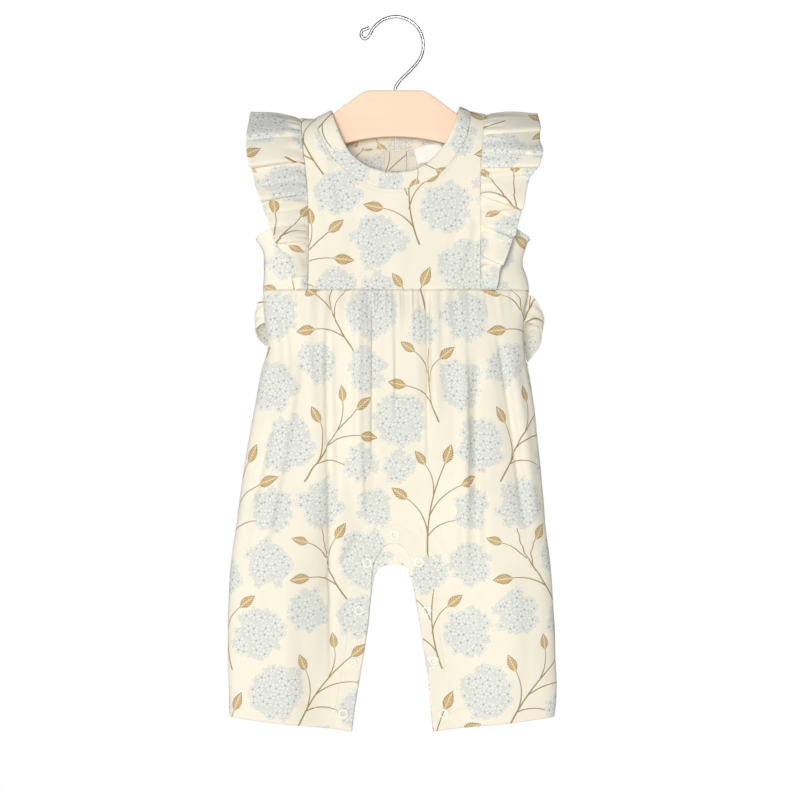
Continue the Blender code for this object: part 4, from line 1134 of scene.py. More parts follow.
def cloth_material(name, group, ground, print_share):
    """Printed jersey. print_share below 1 is the cloth's inner side, where the print is faint."""
    material, graph, shader = plain_finish(name, ground, 0.92)
    cut = cut_millimetres(graph)
    colour = graph.add("ShaderNodeGroup", {"Cut": cut}, node_tree=group).outputs["Colour"]
    if print_share < 1:
        colour = graph.choose(print_share, ground, colour, "RGBA")
    tone = graph.math("MULTIPLY_ADD", graph.noise(cut, BLOTCH_SCALE, 2.0, "2D"), *BLOTCH_TONE)
    wales = graph.bands(cut, WALE_SCALE, "X")
    knit = graph.math("MULTIPLY", wales, graph.bands(cut, COURSE_SCALE, "Y"))
    uneven = graph.noise(cut, KNIT_UNEVEN_SCALE, 3.0, "2D")
    height = graph.math("MULTIPLY_ADD", uneven, KNIT_UNEVEN, knit)
    graph.fill(shader, {
        "Base Color": graph.scaled(colour, tone),
        "Normal": graph.bump(*KNIT_BUMP, height),
        "Specular IOR Level": 0.18,
        "Sheen Weight": 0.12,
        "Sheen Roughness": 0.5,
    })
    return material


def label_material():
    """Plain woven tape: a fine weave of off-white threads, and a faint painted glow."""
    material, graph, shader = plain_finish("woven_tape", srgb(252, 249, 242), 0.8)
    cut = cut_millimetres(graph)
    threads = [graph.bands(cut, TAPE_SCALE, direction) for direction in ("X", "Y")]
    graph.fill(shader, {
        "Normal": graph.bump(*TAPE_BUMP, graph.math("MULTIPLY", *threads)),
        "Sheen Weight": 0.1,
        # The emission is a painted glow that brightens the label in the shade inside the neck.
        "Emission Color": srgb(255, 255, 244),
        "Emission Strength": LABEL_PAINTED_GLOW,
    })
    return material


def board_material(colour):
    """Smooth peach wood: faint grain along the board, and an even satin finish."""
    material, graph, shader = plain_finish("peach_wood", colour, 0.5)
    mapping = graph.add("ShaderNodeMapping", {"Vector": graph.own_place(), "Scale": GRAIN_SCALE})
    grain = graph.noise(mapping.outputs["Vector"], 1.0, 4.0)
    tone = graph.math("MULTIPLY_ADD", grain, *GRAIN_TONE)
    graph.fill(shader, {
        "Base Color": graph.scaled(colour[:3], tone),
        "Normal": graph.bump(*GRAIN_BUMP, grain),
    })
    return material


def chrome_material():
    """Bright plated wire with fine drawn marks."""
    material, graph, shader = plain_finish("bright_wire", srgb(176, 176, 177), 0.3, 1.0)
    marks = graph.noise(graph.own_place(), WIRE_MARKS_SCALE)
    graph.fill(shader, {"Roughness": graph.math("MULTIPLY_ADD", marks, *WIRE_ROUGHNESS)})
    return material


def mottled_finish(name, first, second, roughness, scale):
    """A finish whose colour wavers from one tint to another in fine specks."""
    material, graph, shader = plain_finish(name, first, roughness)
    specks = graph.noise(graph.own_place(), scale)
    graph.fill(shader, {"Base Color": graph.choose(specks, first, second, "RGBA")})
    return material


def enamel_material():
    """Cream enamel of the ring snaps, a little worn and uneven."""
    tints = (srgb(250, 248, 242), srgb(245, 239, 227))
    return mottled_finish("cream_enamel", *tints, 0.3, ENAMEL_SCALE)


def thread_material():
    """Sewing thread in the cloth's own colour."""
    tints = (srgb(240, 232, 212), srgb(228, 219, 196))
    return mottled_finish("sewing_thread", *tints, 0.7, THREAD_SCALE)


def finish_named(name, make):
    """The material of this name, made on its first use."""
    return bpy.data.materials.get(name) or make()


def cloth_finishes():
    """The printed outer side, and the fainter inner side of the cloth, whose paler ground is painted
    light.
    """
    settings = bpy.context.scene.romper_cloth
    colours = dict(PRINT_COLOURS)
    for name in ("ground", "bloom", "petal_line", "leaf", "leaf_line", "twig"):
        colours[name] = tuple(getattr(settings, name))
    group = bpy.data.node_groups.get("romper_print") or print_group(colours)
    finishes = []
    for name, ground, share in (
        ("printed_jersey", colours["ground"], 1.0),
        ("jersey_inside_painted_light", tuple(settings.inside), settings.show_through),
    ):
        make = partial(cloth_material, name, group, ground, share)
        finishes.append(finish_named(name, make))
    return finishes


def make_piece(name, builder, materials, nodes=()):
    """Turn a built mesh into a smooth piece that rides with the garment."""
    mesh = bpy.data.meshes.new(name)
    builder.to_mesh(mesh)
    builder.free()
    mesh.shade_smooth()
    piece = bpy.data.objects.new(name, mesh)
    for material in materials:
        mesh.materials.append(material)
    bpy.context.collection.objects.link(piece)
    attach(piece, "root")
    if nodes:
        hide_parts(*nodes)
    return piece


def panel_cut(column, corner, points):
    """A panel's cut: its level way along each row from a column, and its height."""
    along = run_lengths(points[..., :2], axis=1)
    along = along - along[:, column:column + 1 or None]
    direction = np.sign(points[0, -1, 0] - points[0, 0, 0])
    across = points[:, column, 0][:, None] + direction * along
    return np.stack((across + corner[0], points[..., 2] + corner[1]), axis=-1)


def strip_cut(row, corner, points):
    """A strip's cut: its length along one of its rows, and its way across."""
    along = run_lengths(points[row])[None, :] + np.zeros(points.shape[:2])
    return np.stack((along + corner[0], corner[1] - run_lengths(points)), axis=-1)


def cloth(stem, places, rule, shell=SHELL, hem_shell=None, both_printed=False, inward=False,
          node=None, slot=None, finishes=None):
    """A cloth piece: one grid laid by each place(u, v), joined where they meet.

    The grid is the cloth's outer side, and its thickness goes inward from there. The rule lays
    its cut out flat, and a hem_shell is the thicker wall of its hem. It stands for the node of
    its stem's name unless another is given, and for none where it is given a slot.
    """
    builder = bmesh.new()
    uv = builder.loops.layers.uv.new(CUT_MAP)
    flat = builder.verts.layers.float_vector.new("flat")
    weight = builder.verts.layers.deform.verify()
    columns, rows, line, *corner = CLOTH_GRIDS[stem]
    u = np.linspace(0, 1, columns + 1)[None, :] * np.ones((rows + 1, 1))
    v = np.linspace(0, 1, rows + 1)[:, None] * np.ones((1, columns + 1))
    for place in places:
        points = place(u, v)
        on_cut = rule(line, corner, points)
        hem = hem_share(points) if hem_shell else np.zeros(u.shape)
        made = bmesh.ops.create_grid(builder, x_segments=columns, y_segments=rows, size=0.5)
        for vertex in made["verts"]:
            column = round((vertex.co.x + 0.5) * columns)
            row = round((0.5 - vertex.co.y) * rows)
            vertex.co = points[row, column] * MM
            vertex[flat] = (*on_cut[row, column] * MM, 0.0)
            vertex[weight][0] = float(hem[row, column])
    bmesh.ops.remove_doubles(builder, verts=builder.verts, dist=MERGE_DISTANCE)
    bmesh.ops.recalc_face_normals(builder, faces=builder.faces)
    outward = sum(face.normal.y * face.calc_center_median().y for face in builder.faces)
    if (outward < 0) != inward:
        bmesh.ops.reverse_faces(builder, faces=builder.faces)
    for face in builder.faces:
        for loop in face.loops:
            loop[uv].uv = loop.vert[flat].xy
    builder.verts.layers.float_vector.remove(flat)
    outer, inner = finishes or cloth_finishes()
    if both_printed:
        inner = outer
    nodes = [] if slot else [node or stem]
    piece = make_piece(stem + "_cloth", builder, (outer, inner), nodes)
    piece.vertex_groups.new(name="hem")
    wall = piece.modifiers.new("cloth_wall", "SOLIDIFY")
    wall.thickness = (hem_shell or shell) * MM
    wall.offset = -1.0
    wall.material_offset = 1
    wall.use_rim = True
    if hem_shell:
        wall.vertex_group = "hem"
        wall.thickness_vertex_group = shell / hem_shell


def edge_distance(x, z, edge_x, edge_z):
    """Distance from each place to the nearest of an edge's points."""
    x = np.asarray(x, dtype=float)[..., None]
    z = np.asarray(z, dtype=float)[..., None]
    return np.sqrt(((x - edge_x) ** 2 + (z - edge_z) ** 2).min(axis=-1))


def neck_edge(wall):
    """Points of the seam between the neckband and a bodice."""
    steps = np.linspace(0, NECK[wall].key[-1], NECK_POINTS)
    return NECK[wall].at("sewn_x", steps), NECK[wall].at("sewn_z", steps)


def armhole_edge():
    """Points of both armholes' edges."""
    z = np.linspace(UNDERARM_Z, ARMHOLE_TOP_Z, ARMHOLE_POINTS)
    both = np.concatenate((ARMHOLE.at("left", z), ARMHOLE.at("right", z)))
    return both, np.concatenate((z, z))


def side_distance(x, z, wall):
    """Distance along the form from the garment's outer edge."""
    to_left = np.abs(x - OUTLINE.at("left", z))
    to_right = np.abs(x - OUTLINE.at("right", z))
    return np.hypot(np.minimum(to_left, to_right), depth(x, z, wall))


def bodice_lift(x, z, wall):
    """Height of the bodice's and side panels' outer side above the form."""
    left = np.abs(x - RUFFLE_SEAM.at("left", z))
    right = np.abs(x - RUFFLE_SEAM.at("right", z))
    neck = edge_distance(x, z, *neck_edge(wall))
    armhole = edge_distance(x, z, *armhole_edge())
    lift = CLOTH + creases_at(x, z, wall)
    lift = lift + rolled(np.minimum(left, right), SEAM_ROLL_WIDTH, FLAT_SEAM_ROLL)
    lift = lift + rolled(z - WAIST_Z, SEAM_ROLL_WIDTH, FLAT_SEAM_ROLL)
    lift = lift + rolled(neck, SEAM_ROLL_WIDTH, NECK_ROLL)
    lift = lift + rolled(armhole, FREE_ROLL_WIDTH, ARMHOLE_ROLL)
    return lift - groove(armhole - ARMHOLE_STITCH) - groove(neck - NECK_STITCH)


def inseam_x(wall, column, z):
    """The leg's inner edge, rounded at the top of the crotch's cut."""
    table = INSEAM[wall]
    top, low = table.key[-1], table.key[-2]
    end = table.at(column, low)
    start = table.at(column, top)
    near_top = start + (end - start) * np.sqrt(np.clip((top - z) / (top - low), 0, 1))
    return np.where(z > low, near_top, table.at(column, z))


def inseam_edge(wall):
    """Points of both inner edges of the legs, round the crotch's cut."""
    share = np.linspace(0, 1, INSEAM_POINTS) ** INSEAM_CROWDING
    z = ARCH_TOP_Z[wall] - share * (ARCH_TOP_Z[wall] - INSEAM_END_Z)
    both = np.concatenate((inseam_x(wall, "left", z), inseam_x(wall, "right", z)))
    return both, np.concatenate((z, z))


def hem_drop_share(x, z):
    """How much of the hem's drop towards the inseam is reached at a place, from 0 to 1."""
    outer = nearer(OUTLINE, x, z)
    strip = nearer(SNAP_STRIP, x, z)
    inner = np.where(x < CENTRE_X, inseam_x(FRONT, "left", z), inseam_x(FRONT, "right", z))
    on_leg = np.clip((x - outer) / (strip - outer), 0, 1)
    on_strip = np.clip((x - strip) / (inner - strip), 0, 1)
    return on_leg * LEG_SHARE + on_strip * (1 - LEG_SHARE)


def above_hem(x, z):
    """Height of a place of a leg above the leg's hem."""
    return z - (HEM_Z - HEM_DROP * hem_drop_share(x, z))


def hem_share(points):
    """1 in a leg's hem, 0 above it."""
    height = above_hem(points[..., 0], points[..., 2])
    return smoothstep(HEM_WIDTH + HEM_SOFTNESS, HEM_WIDTH - HEM_SOFTNESS, height)


def leg_lift(x, z, wall):
    """Height of the legs' outer side above the form."""
    below_waist = WAIST_Z - z
    puff = GATHER_PUFF * fading(PUFF_ENDS, below_waist)
    inner = edge_distance(x, z, *inseam_edge(wall))
    lift = CLOTH + creases_at(x, z, wall) + gathers_at(x, z, wall) + puff
    lift = lift + rolled(below_waist, WAIST_ROLL_WIDTH, WAIST_ROLL) + hemmed(above_hem(x, z))
    lift = lift + rolled(inner, FREE_ROLL_WIDTH, STRIP_ROLL)
    lift = lift - groove(inner - STRIP_STITCH, WIDE_GROOVE_WIDTH)
    return lift + rolled(side_distance(x, z, wall))


def neck_away(wall, step, distance):
    """A step of this length from the neckband's seam away from the neck, as its x and z."""
    neck = NECK[wall]
    along_x = neck.at("sewn_x", step + NECK_PROBE) - neck.at("sewn_x", step - NECK_PROBE)
    along_z = neck.at("sewn_z", step + NECK_PROBE) - neck.at("sewn_z", step - NECK_PROBE)
    length = np.sqrt(along_x ** 2 + along_z ** 2)
    return distance * along_z / length, -distance * along_x / length


def top_edge(wall, step):
    """A bodice's upper edge. Steps below 0 and past the neck's last one run along a shoulder."""
    neck = NECK[wall]
    last = neck.key[-1]
    under_x, under_z = neck_away(wall, np.clip(step, 0, last), -NECK_UNDERLAP)
    neck_x = neck.at("sewn_x", step) + under_x
    neck_z = neck.at("sewn_z", step) + under_z
    left_part = np.clip(-step / SHOULDER_STEPS, 0, 1)
    right_part = np.clip((step - last) / SHOULDER_STEPS, 0, 1)
    left_end = RUFFLE_SEAM.at("left", SHOULDER_END_Z[LEFT])
    right_end = RUFFLE_SEAM.at("right", SHOULDER_END_Z[RIGHT])
    x = neck_x + (left_end - neck_x) * left_part
    x = x + (right_end - x) * right_part
    on_shoulder = (step < 0) | (step > last)
    z = np.where(on_shoulder, SHOULDER.at("z", x), neck_z)
    return x, np.minimum(z, SHOULDER.at("z", x))


def bodice_place(wall, start, end, u, v):
    """Grid of a bodice panel between two steps of its upper edge, down to the waist."""
    last = NECK[wall].key[-1]
    step = start + (end - start) * u
    top_x, top_z = top_edge(wall, step)
    down = v ** ROW_CROWDING
    z = top_z + (WAIST_Z - top_z) * down
    top_left = RUFFLE_SEAM.at("left", top_z)
    top_share = (top_x - top_left) / (RUFFLE_SEAM.at("right", top_z) - top_left)
    low_share = (step + SHOULDER_STEPS) / (last + 2 * SHOULDER_STEPS)
    share = top_share + (low_share - top_share) * down
    left = RUFFLE_SEAM.at("left", z)
    x = left + (RUFFLE_SEAM.at("right", z) - left) * share
    return on_form(x, z, wall, bodice_lift(x, z, wall))


def back_half_place(side, u, v):
    """Grid of one half of the back bodice, as far as the centre back opening."""
    last = NECK[BACK].key[-1]
    if side == LEFT:
        points = bodice_place(BACK, -SHOULDER_STEPS, last / 2, u, v)
    else:
        points = bodice_place(BACK, last / 2, last + SHOULDER_STEPS, u, v)
    at_centre = u == (1 if side == LEFT else 0)
    x = np.where(at_centre, CENTRE_X + side * SEAM_GAP / 2, points[..., 0])
    return on_form(x, points[..., 2], BACK, bodice_lift(x, points[..., 2], BACK))


def side_place(wall, side, u, v):
    """Grid of a side panel: the armhole's edge and side seam outside, the ruffle seam inside."""
    column = SIDE_NAMES[side]
    z = ARMHOLE_TOP_Z + (WAIST_Z - ARMHOLE_TOP_Z) * v
    outer = np.where(z > UNDERARM_Z, ARMHOLE.at(column, z), OUTLINE.at(column, z))
    on_panel = ((1 - np.cos(math.pi * u)) / 2 + u) / 2
    x = outer + (RUFFLE_SEAM.at(column, z) - outer) * on_panel
    return on_form(x, z, wall, bodice_lift(x, z, wall), to_seam=True)


def neckband_place(u, v):
    """The neckband's strip: from the centre back round the left shoulder and front to the back."""
    front_last = NECK[FRONT].key[-1]
    back_last = NECK[BACK].key[-1]
    back_middle = back_last / 2
    run = BAND_END_GAP + (back_last + front_last - 2 * BAND_END_GAP) * u
    first_back = run < back_middle
    on_front = ~first_back & (run <= back_middle + front_last)
    back_step = np.where(first_back, back_middle - run, back_last + back_middle + front_last - run)
    front_step = run - back_middle
    step = np.where(on_front, front_step, back_step)
    from_seam = NECKBAND_WIDTH * v
    lift = CLOTH + BAND_RISE + rolled(from_seam, *BAND_SEWN_ROLL)
    lift = lift + rolled(NECKBAND_WIDTH - from_seam, *BAND_FREE_ROLL)
    along, slant, slow = BAND_RIPPLES
    lift = lift + BAND_RIPPLE * np.sin(along * run + slant * v) * np.sin(slow * run)
    points = np.zeros((*u.shape, 3))
    for wall, chosen in ((FRONT, on_front), (BACK, ~on_front)):
        neck = NECK[wall]
        sewn_x = neck.at("sewn_x", step)
        sewn_z = neck.at("sewn_z", step)
        x = sewn_x + (neck.at("free_x", step) - sewn_x) * v
        z = sewn_z + (neck.at("free_z", step) - sewn_z) * v
        points[chosen] = on_form(x, z, wall, lift)[chosen]
    ridge = np.minimum(np.abs(front_step), np.abs(front_step - front_last))
    points[..., 1] = np.where(ridge < RIDGE_STEPS, 0.0, points[..., 1])
    return points


def leg_rows(wall):
    """Heights of the leg panels' rows: closer together under the top of the crotch's cut."""
    top = ARCH_TOP_Z[wall]
    above = np.linspace(WAIST_Z, top, LEG_ROWS_TO_ARCH + 1)
    arch = top - ARCH_HEIGHT * np.linspace(0, 1, LEG_ROWS_IN_ARCH + 1)[1:] ** 2
    below = np.linspace(arch[-1], HEM_Z, LEG_ROWS_BELOW + 1)[1:]
    return np.concatenate((above, arch, below))


def leg_place(wall, side, u, v):
    """Grid of half a leg panel: from the outer edge to the centre, then to the leg's inner edge."""
    column = SIDE_NAMES[side]
    rows = leg_rows(wall)
    row_z = np.interp(v, np.linspace(0, 1, len(rows)), rows)
    on_leg = (1 - np.cos(math.pi * np.clip(u / LEG_SHARE, 0, 1))) / 2
    on_strip = np.clip((u - LEG_SHARE) / (1 - LEG_SHARE), 0, 1)
    drop = HEM_DROP * smoothstep(HEM_DROP_START_Z, HEM_Z, row_z)
    z = row_z - drop * (on_leg * LEG_SHARE + on_strip * (1 - LEG_SHARE))
    outer = OUTLINE.at(column, row_z)
    inner = inseam_x(wall, column, z)
    strip = SNAP_STRIP.at(column, z)
    x = outer + (strip - outer) * on_leg + (inner - strip) * on_strip
    return on_form(x, z, wall, leg_lift(x, z, wall), to_seam=True)


def ruffle_folds(side, run, at_back, v):
    """How far a ruffle's folds lift it at a step of its run, and with their crevices and puckers."""
    folds = np.zeros(np.broadcast(run, v).shape)
    dips = folds
    for wall, step, below, above, rise, slant in RUFFLE_FOLDS[side]:
        on_wall = at_back if wall == BACK else ~at_back
        along = run - step - slant * v
        height = on_wall * rise * (FOLD_AT_SEAM + (1 - FOLD_AT_SEAM) * v ** FOLD_GROWTH)
        folds = folds + height * hump(along, below, above)
        dips = dips + height * UNDERCUT * hump(along + below, *UNDERCUT_WIDTHS)
        dips = dips + height * CREVICE * hump(along + below, CREVICE_WIDTH, CREVICE_WIDTH)
    wander, slow = PUCKER_WANDER
    puckers = np.sin(PUCKERS * run + wander * np.sin(slow * run))
    return folds, folds - dips + PUCKER_HEIGHT * puckers * fading(PUCKER_ENDS, v)


def ruffle_surface(side, u, v):
    """A gathered strip over the shoulder: u from the front waist to the back waist, v outward."""
    table = RUFFLES[side]
    v = np.maximum(v, 0)
    run = (1 - np.abs(2 * u - 1)) * RUFFLE_TOP_STEP
    at_back = u > 0.5
    seam_z = table.at("seam_z", run)
    seam_x = RUFFLE_SEAM.at(SIDE_NAMES[side], seam_z) + side * RUFFLE_SET
    front_seam = on_form(seam_x, seam_z, FRONT, CLOTH + SEAM_GAP)
    back_seam = on_form(seam_x, seam_z, BACK, CLOTH + SEAM_GAP)
    seam = np.where(at_back[..., None], back_seam, front_seam)
    level = smoothstep(RUFFLE_TOP_STEP - RUFFLE_LEVEL_STEPS, RUFFLE_TOP_STEP, run)
    seam[..., 1] *= smoothstep(RUFFLE_TOP_STEP, RUFFLE_TOP_STEP - RUFFLE_CLOSED_STEPS, run)
    wall = np.where(at_back, 1.0, -1.0)
    edge_x = table.at("x", run) - side * RUFFLE_BACK_TUCK * at_back
    edge = np.stack((edge_x, wall * table.at("out", run), table.at("z", run)), axis=-1)
    points = seam + (edge - seam) * v[..., None]
    folds, lift = ruffle_folds(side, run, at_back, v)
    fold = RUFFLE_BELLY * np.sin(math.pi * v) ** 2 + lift
    points[..., 0] += side * FOLD_SPREAD * v * folds * (1 - level)
    points[..., 1] += wall * fold * (1 - level)
    points[..., 2] += fold * level * RUFFLE_TOP_RISE
    return points


def ruffle_place(side, u, v):
    """Grid of a ruffle's outer side, with its narrow hem."""
    from_edge = (1 - v) * RUFFLE_WIDTH
    lift = CLOTH + rolled(from_edge, FREE_ROLL_WIDTH, FREE_ROLL)
    lift = lift + rolled(v * RUFFLE_WIDTH, *RUFFLE_SEAM_ROLL) - groove(from_edge - RUFFLE_HEM)
    return raised(partial(ruffle_surface, side), u, v, -side * lift)


def tie_surface(side, u, v):
    """A waist tie along its route from the side seam to the knot, without its pleats."""
    table = TIES[side]
    step = u * table.key[-1]
    top = np.stack((table.at("top_x", step), table.at("y", step), table.at("top_z", step)), -1)
    low = np.stack((table.at("low_x", step), table.at("y", step), table.at("low_z", step)), -1)
    points = top + (low - top) * v[..., None]
    points[..., 0] -= side * TIE_TUCK * smoothstep(TIE_TUCK_SHARE, 0.0, u)
    return points


def tie_place(side, u, v):
    """Grid of a waist tie, pleated where it is sewn in and where it meets the knot."""
    at_seam, at_knot = TIE_BUNCHED
    bunched = smoothstep(*at_seam, u) + smoothstep(*at_knot, u)
    wander, slow = TIE_PLEAT_WANDER
    pleats = TIE_PLEAT * np.cos(2 * math.pi * (TIE_PLEATS * v + wander * np.sin(slow * u)))
    along, across = TIE_SLACK_WAVES
    slack = TIE_SLACK * np.sin(along * u + across * v)
    lift = CLOTH + pleats * bunched + slack * (1 - np.clip(bunched, 0, 1))
    inner_u = np.clip(u, SURFACE_STEP, 1 - SURFACE_STEP)
    return raised(partial(tie_surface, side), inner_u, v, -side * lift)


def tail_place(side, u, v):
    """Grid of a tie's hanging end, below the knot."""
    table = TAILS[side]
    z = table.key[-1] + (table.key[0] - table.key[-1]) * v
    across = 2 * u - 1
    x = table.at("x", z) + table.at("half_width", z) * across
    bunched = smoothstep(TAIL_BUNCHED, 0.0, v)
    lift = CLOTH + TIE_PLEAT * bunched * np.cos(2 * math.pi * TAIL_PLEATS * u)
    lift = lift + TAIL_SWAY * np.sin(TAIL_WAVES * v + side) * v + TAIL_CUP * across ** 2 * v
    return np.stack((x, table.at("y", z) + lift, z), axis=-1)


def placket_line(u, v):
    """A place of the strip down the centre back, as x and z, and its distance from the edge."""
    x = CENTRE_X + BACK_PLACKET_HALF * (2 * u - 1)
    z = BACK_PLACKET_TOP_Z + (BACK_PLACKET_LOW_Z - BACK_PLACKET_TOP_Z) * v
    return x, z, BACK_PLACKET_HALF * (1 - np.abs(2 * u - 1))


def placket_place(u, v):
    """Grid of the strip that closes the centre back, lying on the back bodice."""
    x, z, from_edge = placket_line(u, v)
    lift = 2 * CLOTH + SEAM_GAP + creases_at(x, z, BACK)
    lift = lift + rolled(from_edge, FREE_ROLL_WIDTH, FREE_ROLL)
    lift = lift - groove(from_edge - PLACKET_STITCH, NARROW_GROOVE_WIDTH)
    return on_form(x, z, BACK, lift)


def facing_place(u, v):
    """Grid of the placket's facing, on the inner side of the back."""
    x, z, from_edge = placket_line(u, v)
    inside = CLOTH + creases_at(x, z, BACK) - 2 * SHELL - SEAM_GAP / 2
    return on_form(x, z, BACK, inside - rolled(from_edge, *FACING_ROLL))


def label_place(u, v):
    """Grid of the bare neck label, on the inner side of the back, its lower edge lifting."""
    along = LABEL_HALF[0] * (2 * u - 1)
    over = LABEL_HALF[1] * (1 - 2 * v)
    x = LABEL_CENTRE[0] + along * math.cos(LABEL_TILT) - over * math.sin(LABEL_TILT)
    z = LABEL_CENTRE[1] + along * math.sin(LABEL_TILT) + over * math.cos(LABEL_TILT)
    steady, wave, turns, start = LABEL_CURL_WAVE
    curl = LABEL_CURL * v ** 2 * (steady + wave * np.sin(turns * u + start))
    return on_form(x, z, BACK, creases_at(x, z, BACK) - SEAM_GAP - LABEL_WALL - curl)


def smooth_loop(points, count):
    """Points evenly spaced on a smooth closed curve through the given ones."""
    points = np.array(points, dtype=float)
    before, after = np.roll(points, 1, axis=0), np.roll(points, -1, axis=0)
    second = np.roll(points, -2, axis=0)
    dense = []
    for share in np.linspace(0, 1, CURVE_SHARES, endpoint=False):
        term = (
            2 * points + (after - before) * share
            + (2 * before - 5 * points + 4 * after - second) * share ** 2
            + (3 * points - before - 3 * after + second) * share ** 3
        )
        dense.append(term / 2)
    curve = np.stack(dense, axis=1).reshape(-1, 2)
    closed = np.vstack((curve, curve[:1]))
    length = run_lengths(closed)
    wanted = np.linspace(0, length[-1], count, endpoint=False)
    return np.stack([np.interp(wanted, length, closed[:, axis]) for axis in (0, 1)], axis=1)


def make_board(colour):
    """The hanger's board, cut to its outline and rounded at its edges."""
    other_half = [(-x, z) for x, z in reversed(BOARD_OUTLINE[1:-1])]
    outline = smooth_loop(list(BOARD_OUTLINE) + other_half, BOARD_POINTS)
    builder = bmesh.new()
    made = bmesh.ops.create_circle(builder, cap_ends=True, segments=BOARD_POINTS, radius=1.0)
    for vertex, (x, z) in zip(made["verts"], outline):
        vertex.co = Vector((x + BOARD_CENTRE_X, -BOARD_THICKNESS / 2, z)) * MM
    grown = bmesh.ops.extrude_face_region(builder, geom=list(builder.faces))
    moved = [item for item in grown["geom"] if isinstance(item, bmesh.types.BMVert)]
    bmesh.ops.translate(builder, verts=moved, vec=Vector((0, BOARD_THICKNESS * MM, 0)))
    if not any(len(face.verts) > 4 and face.normal.y < 0 for face in builder.faces):
        raise RuntimeError("the hanger's board has lost a side")
    rims = []
    for edge in builder.edges:
        if abs(edge.verts[0].co.y - edge.verts[1].co.y) < MERGE_DISTANCE:
            rims.append(edge)
    bmesh.ops.bevel(
        builder, geom=rims, offset=BOARD_EDGE_ROUND * MM, affect="EDGES",
        segments=BOARD_EDGE_FACES, profile=0.5, material=-1,
    )
    bmesh.ops.recalc_face_normals(builder, faces=builder.faces)
    wood = board_material(colour)
    piece = make_piece("board_wood", builder, (wood,), ["hanger_board"])
    piece.data.set_sharp_from_angle(angle=BOARD_SHARP_ANGLE)


def make_hook():
    """The hanger's hook, one bent wire whose foot stands in the board."""
    curve = bpy.data.curves.new("hook_line", "CURVE")
    curve.dimensions = "3D"
    curve.bevel_depth = WIRE_RADIUS * MM
    curve.bevel_resolution = WIRE_BEVEL
    curve.use_fill_caps = True
    wire = curve.splines.new("POLY")
    wire.points.add(HOOK_POINTS - 1)
    for number, point in enumerate(wire.points):
        step = HOOK_LAST_STEP * number / (HOOK_POINTS - 1)
        x = float(HOOK_PATH.at("x", step))
        z = float(HOOK_PATH.at("z", step))
        point.co = (x * MM, 0.0, z * MM, 1.0)
    guide = bpy.data.objects.new("hook_line", curve)
    bpy.context.collection.objects.link(guide)
    bpy.context.view_layer.update()
    solid = guide.evaluated_get(bpy.context.evaluated_depsgraph_get())
    builder = bmesh.new()
    builder.from_mesh(solid.to_mesh())
    bpy.data.objects.remove(guide)
    bmesh.ops.remove_doubles(builder, verts=builder.verts, dist=MERGE_DISTANCE)
    bmesh.ops.recalc_face_normals(builder, faces=builder.faces)
    make_piece("hook_wire", builder, (chrome_material(),), ["hanger_hook"])


def along_z(direction):
    """The turn that carries the Z axis onto a direction."""
    return direction.to_track_quat("Z", "Y").to_matrix().to_4x4()


def make_ring(name, x, z, wall, lift):
    """One ring snap, lying flat on the cloth."""
    spot = (np.array([x]), np.array([z]), wall)
    under = on_form(*spot, lift)[0]
    at = on_form(*spot, lift + SNAP_WIRE_RADIUS)[0]
    builder = bmesh.new()
    section = bmesh.ops.create_circle(
        builder, segments=RING_WIRE_FACES, radius=SNAP_WIRE_RADIUS * MM,
    )
    ring_place = Matrix.Translation((SNAP_RING_RADIUS * MM, 0, 0))
    ring_place = ring_place @ Matrix.Rotation(math.pi / 2, 4, "X")
    bmesh.ops.transform(builder, verts=section["verts"], matrix=ring_place)
    bmesh.ops.spin(
        builder, geom=list(builder.edges), cent=(0, 0, 0), axis=(0, 0, 1), dvec=(0, 0, 0),
        angle=2 * math.pi, steps=RING_STEPS, use_merge=True,
    )
    bmesh.ops.remove_doubles(builder, verts=builder.verts, dist=MERGE_DISTANCE / 10)
    bmesh.ops.recalc_face_normals(builder, faces=builder.faces)
    where = Matrix.Translation(Vector(at) * MM) @ along_z(Vector(at - under))
    bmesh.ops.transform(builder, verts=builder.verts, matrix=where)
    enamel = finish_named("cream_enamel", enamel_material)
    make_piece(name + "_ring", builder, (enamel,), [name])


def make_knot():
    """The knot of the ties: a rounded block of cloth, with the folds of its wrap."""
    builder = bmesh.new()
    uv = builder.loops.layers.uv.new(CUT_MAP)
    bmesh.ops.create_cube(builder, size=1.0)
    bmesh.ops.subdivide_edges(builder, edges=builder.edges, cuts=KNOT_CUTS, use_grid_fill=True)
    for vertex in builder.verts:
        round_out = 0.5 / max(vertex.co.length, 0.5)
        vertex.co = vertex.co * (1 - KNOT_ROUNDNESS + KNOT_ROUNDNESS * round_out)
        wrap = math.cos(2 * math.pi * vertex.co.dot(Vector(KNOT_WRAPS)))
        vertex.co = vertex.co * (1 + KNOT_FOLD * wrap - KNOT_SHRINK)
        for axis in range(3):
            vertex.co[axis] = (vertex.co[axis] * KNOT_SIZE[axis] + KNOT_CENTRE[axis]) * MM
    bmesh.ops.recalc_face_normals(builder, faces=builder.faces)
    for face in builder.faces:
        for loop in face.loops:
            loop[uv].uv = (loop.vert.co.x + loop.vert.co.y, loop.vert.co.z)
    make_piece("knot_cloth", builder, cloth_finishes()[:1], ["tie_knot"])


def sew(name, paths):
    """Topstitching along paths: each path gives points of the cloth for shares of 0 to 1."""
    builder = bmesh.new()
    for path in paths:
        points = path(np.linspace(0, 1, PATH_POINTS))
        length = run_lengths(points)
        for number in range(int(length[-1] / STITCH_PITCH)):
            start = number * STITCH_PITCH
            ends = []
            for at in (start, start + STITCH_LENGTH):
                ends.append(Vector([np.interp(at, length, points[:, axis]) for axis in range(3)]))
            run = ends[1] - ends[0]
            middle = (ends[0] + ends[1]) / 2 * MM
            bmesh.ops.create_cone(
                builder, cap_ends=True, segments=STITCH_FACES, radius1=STITCH_RADIUS * MM,
                radius2=STITCH_RADIUS * MM, depth=run.length * MM,
                matrix=Matrix.Translation(middle) @ along_z(run),
            )
    thread = finish_named("sewing_thread", thread_material)
    make_piece(name, builder, (thread,), ())


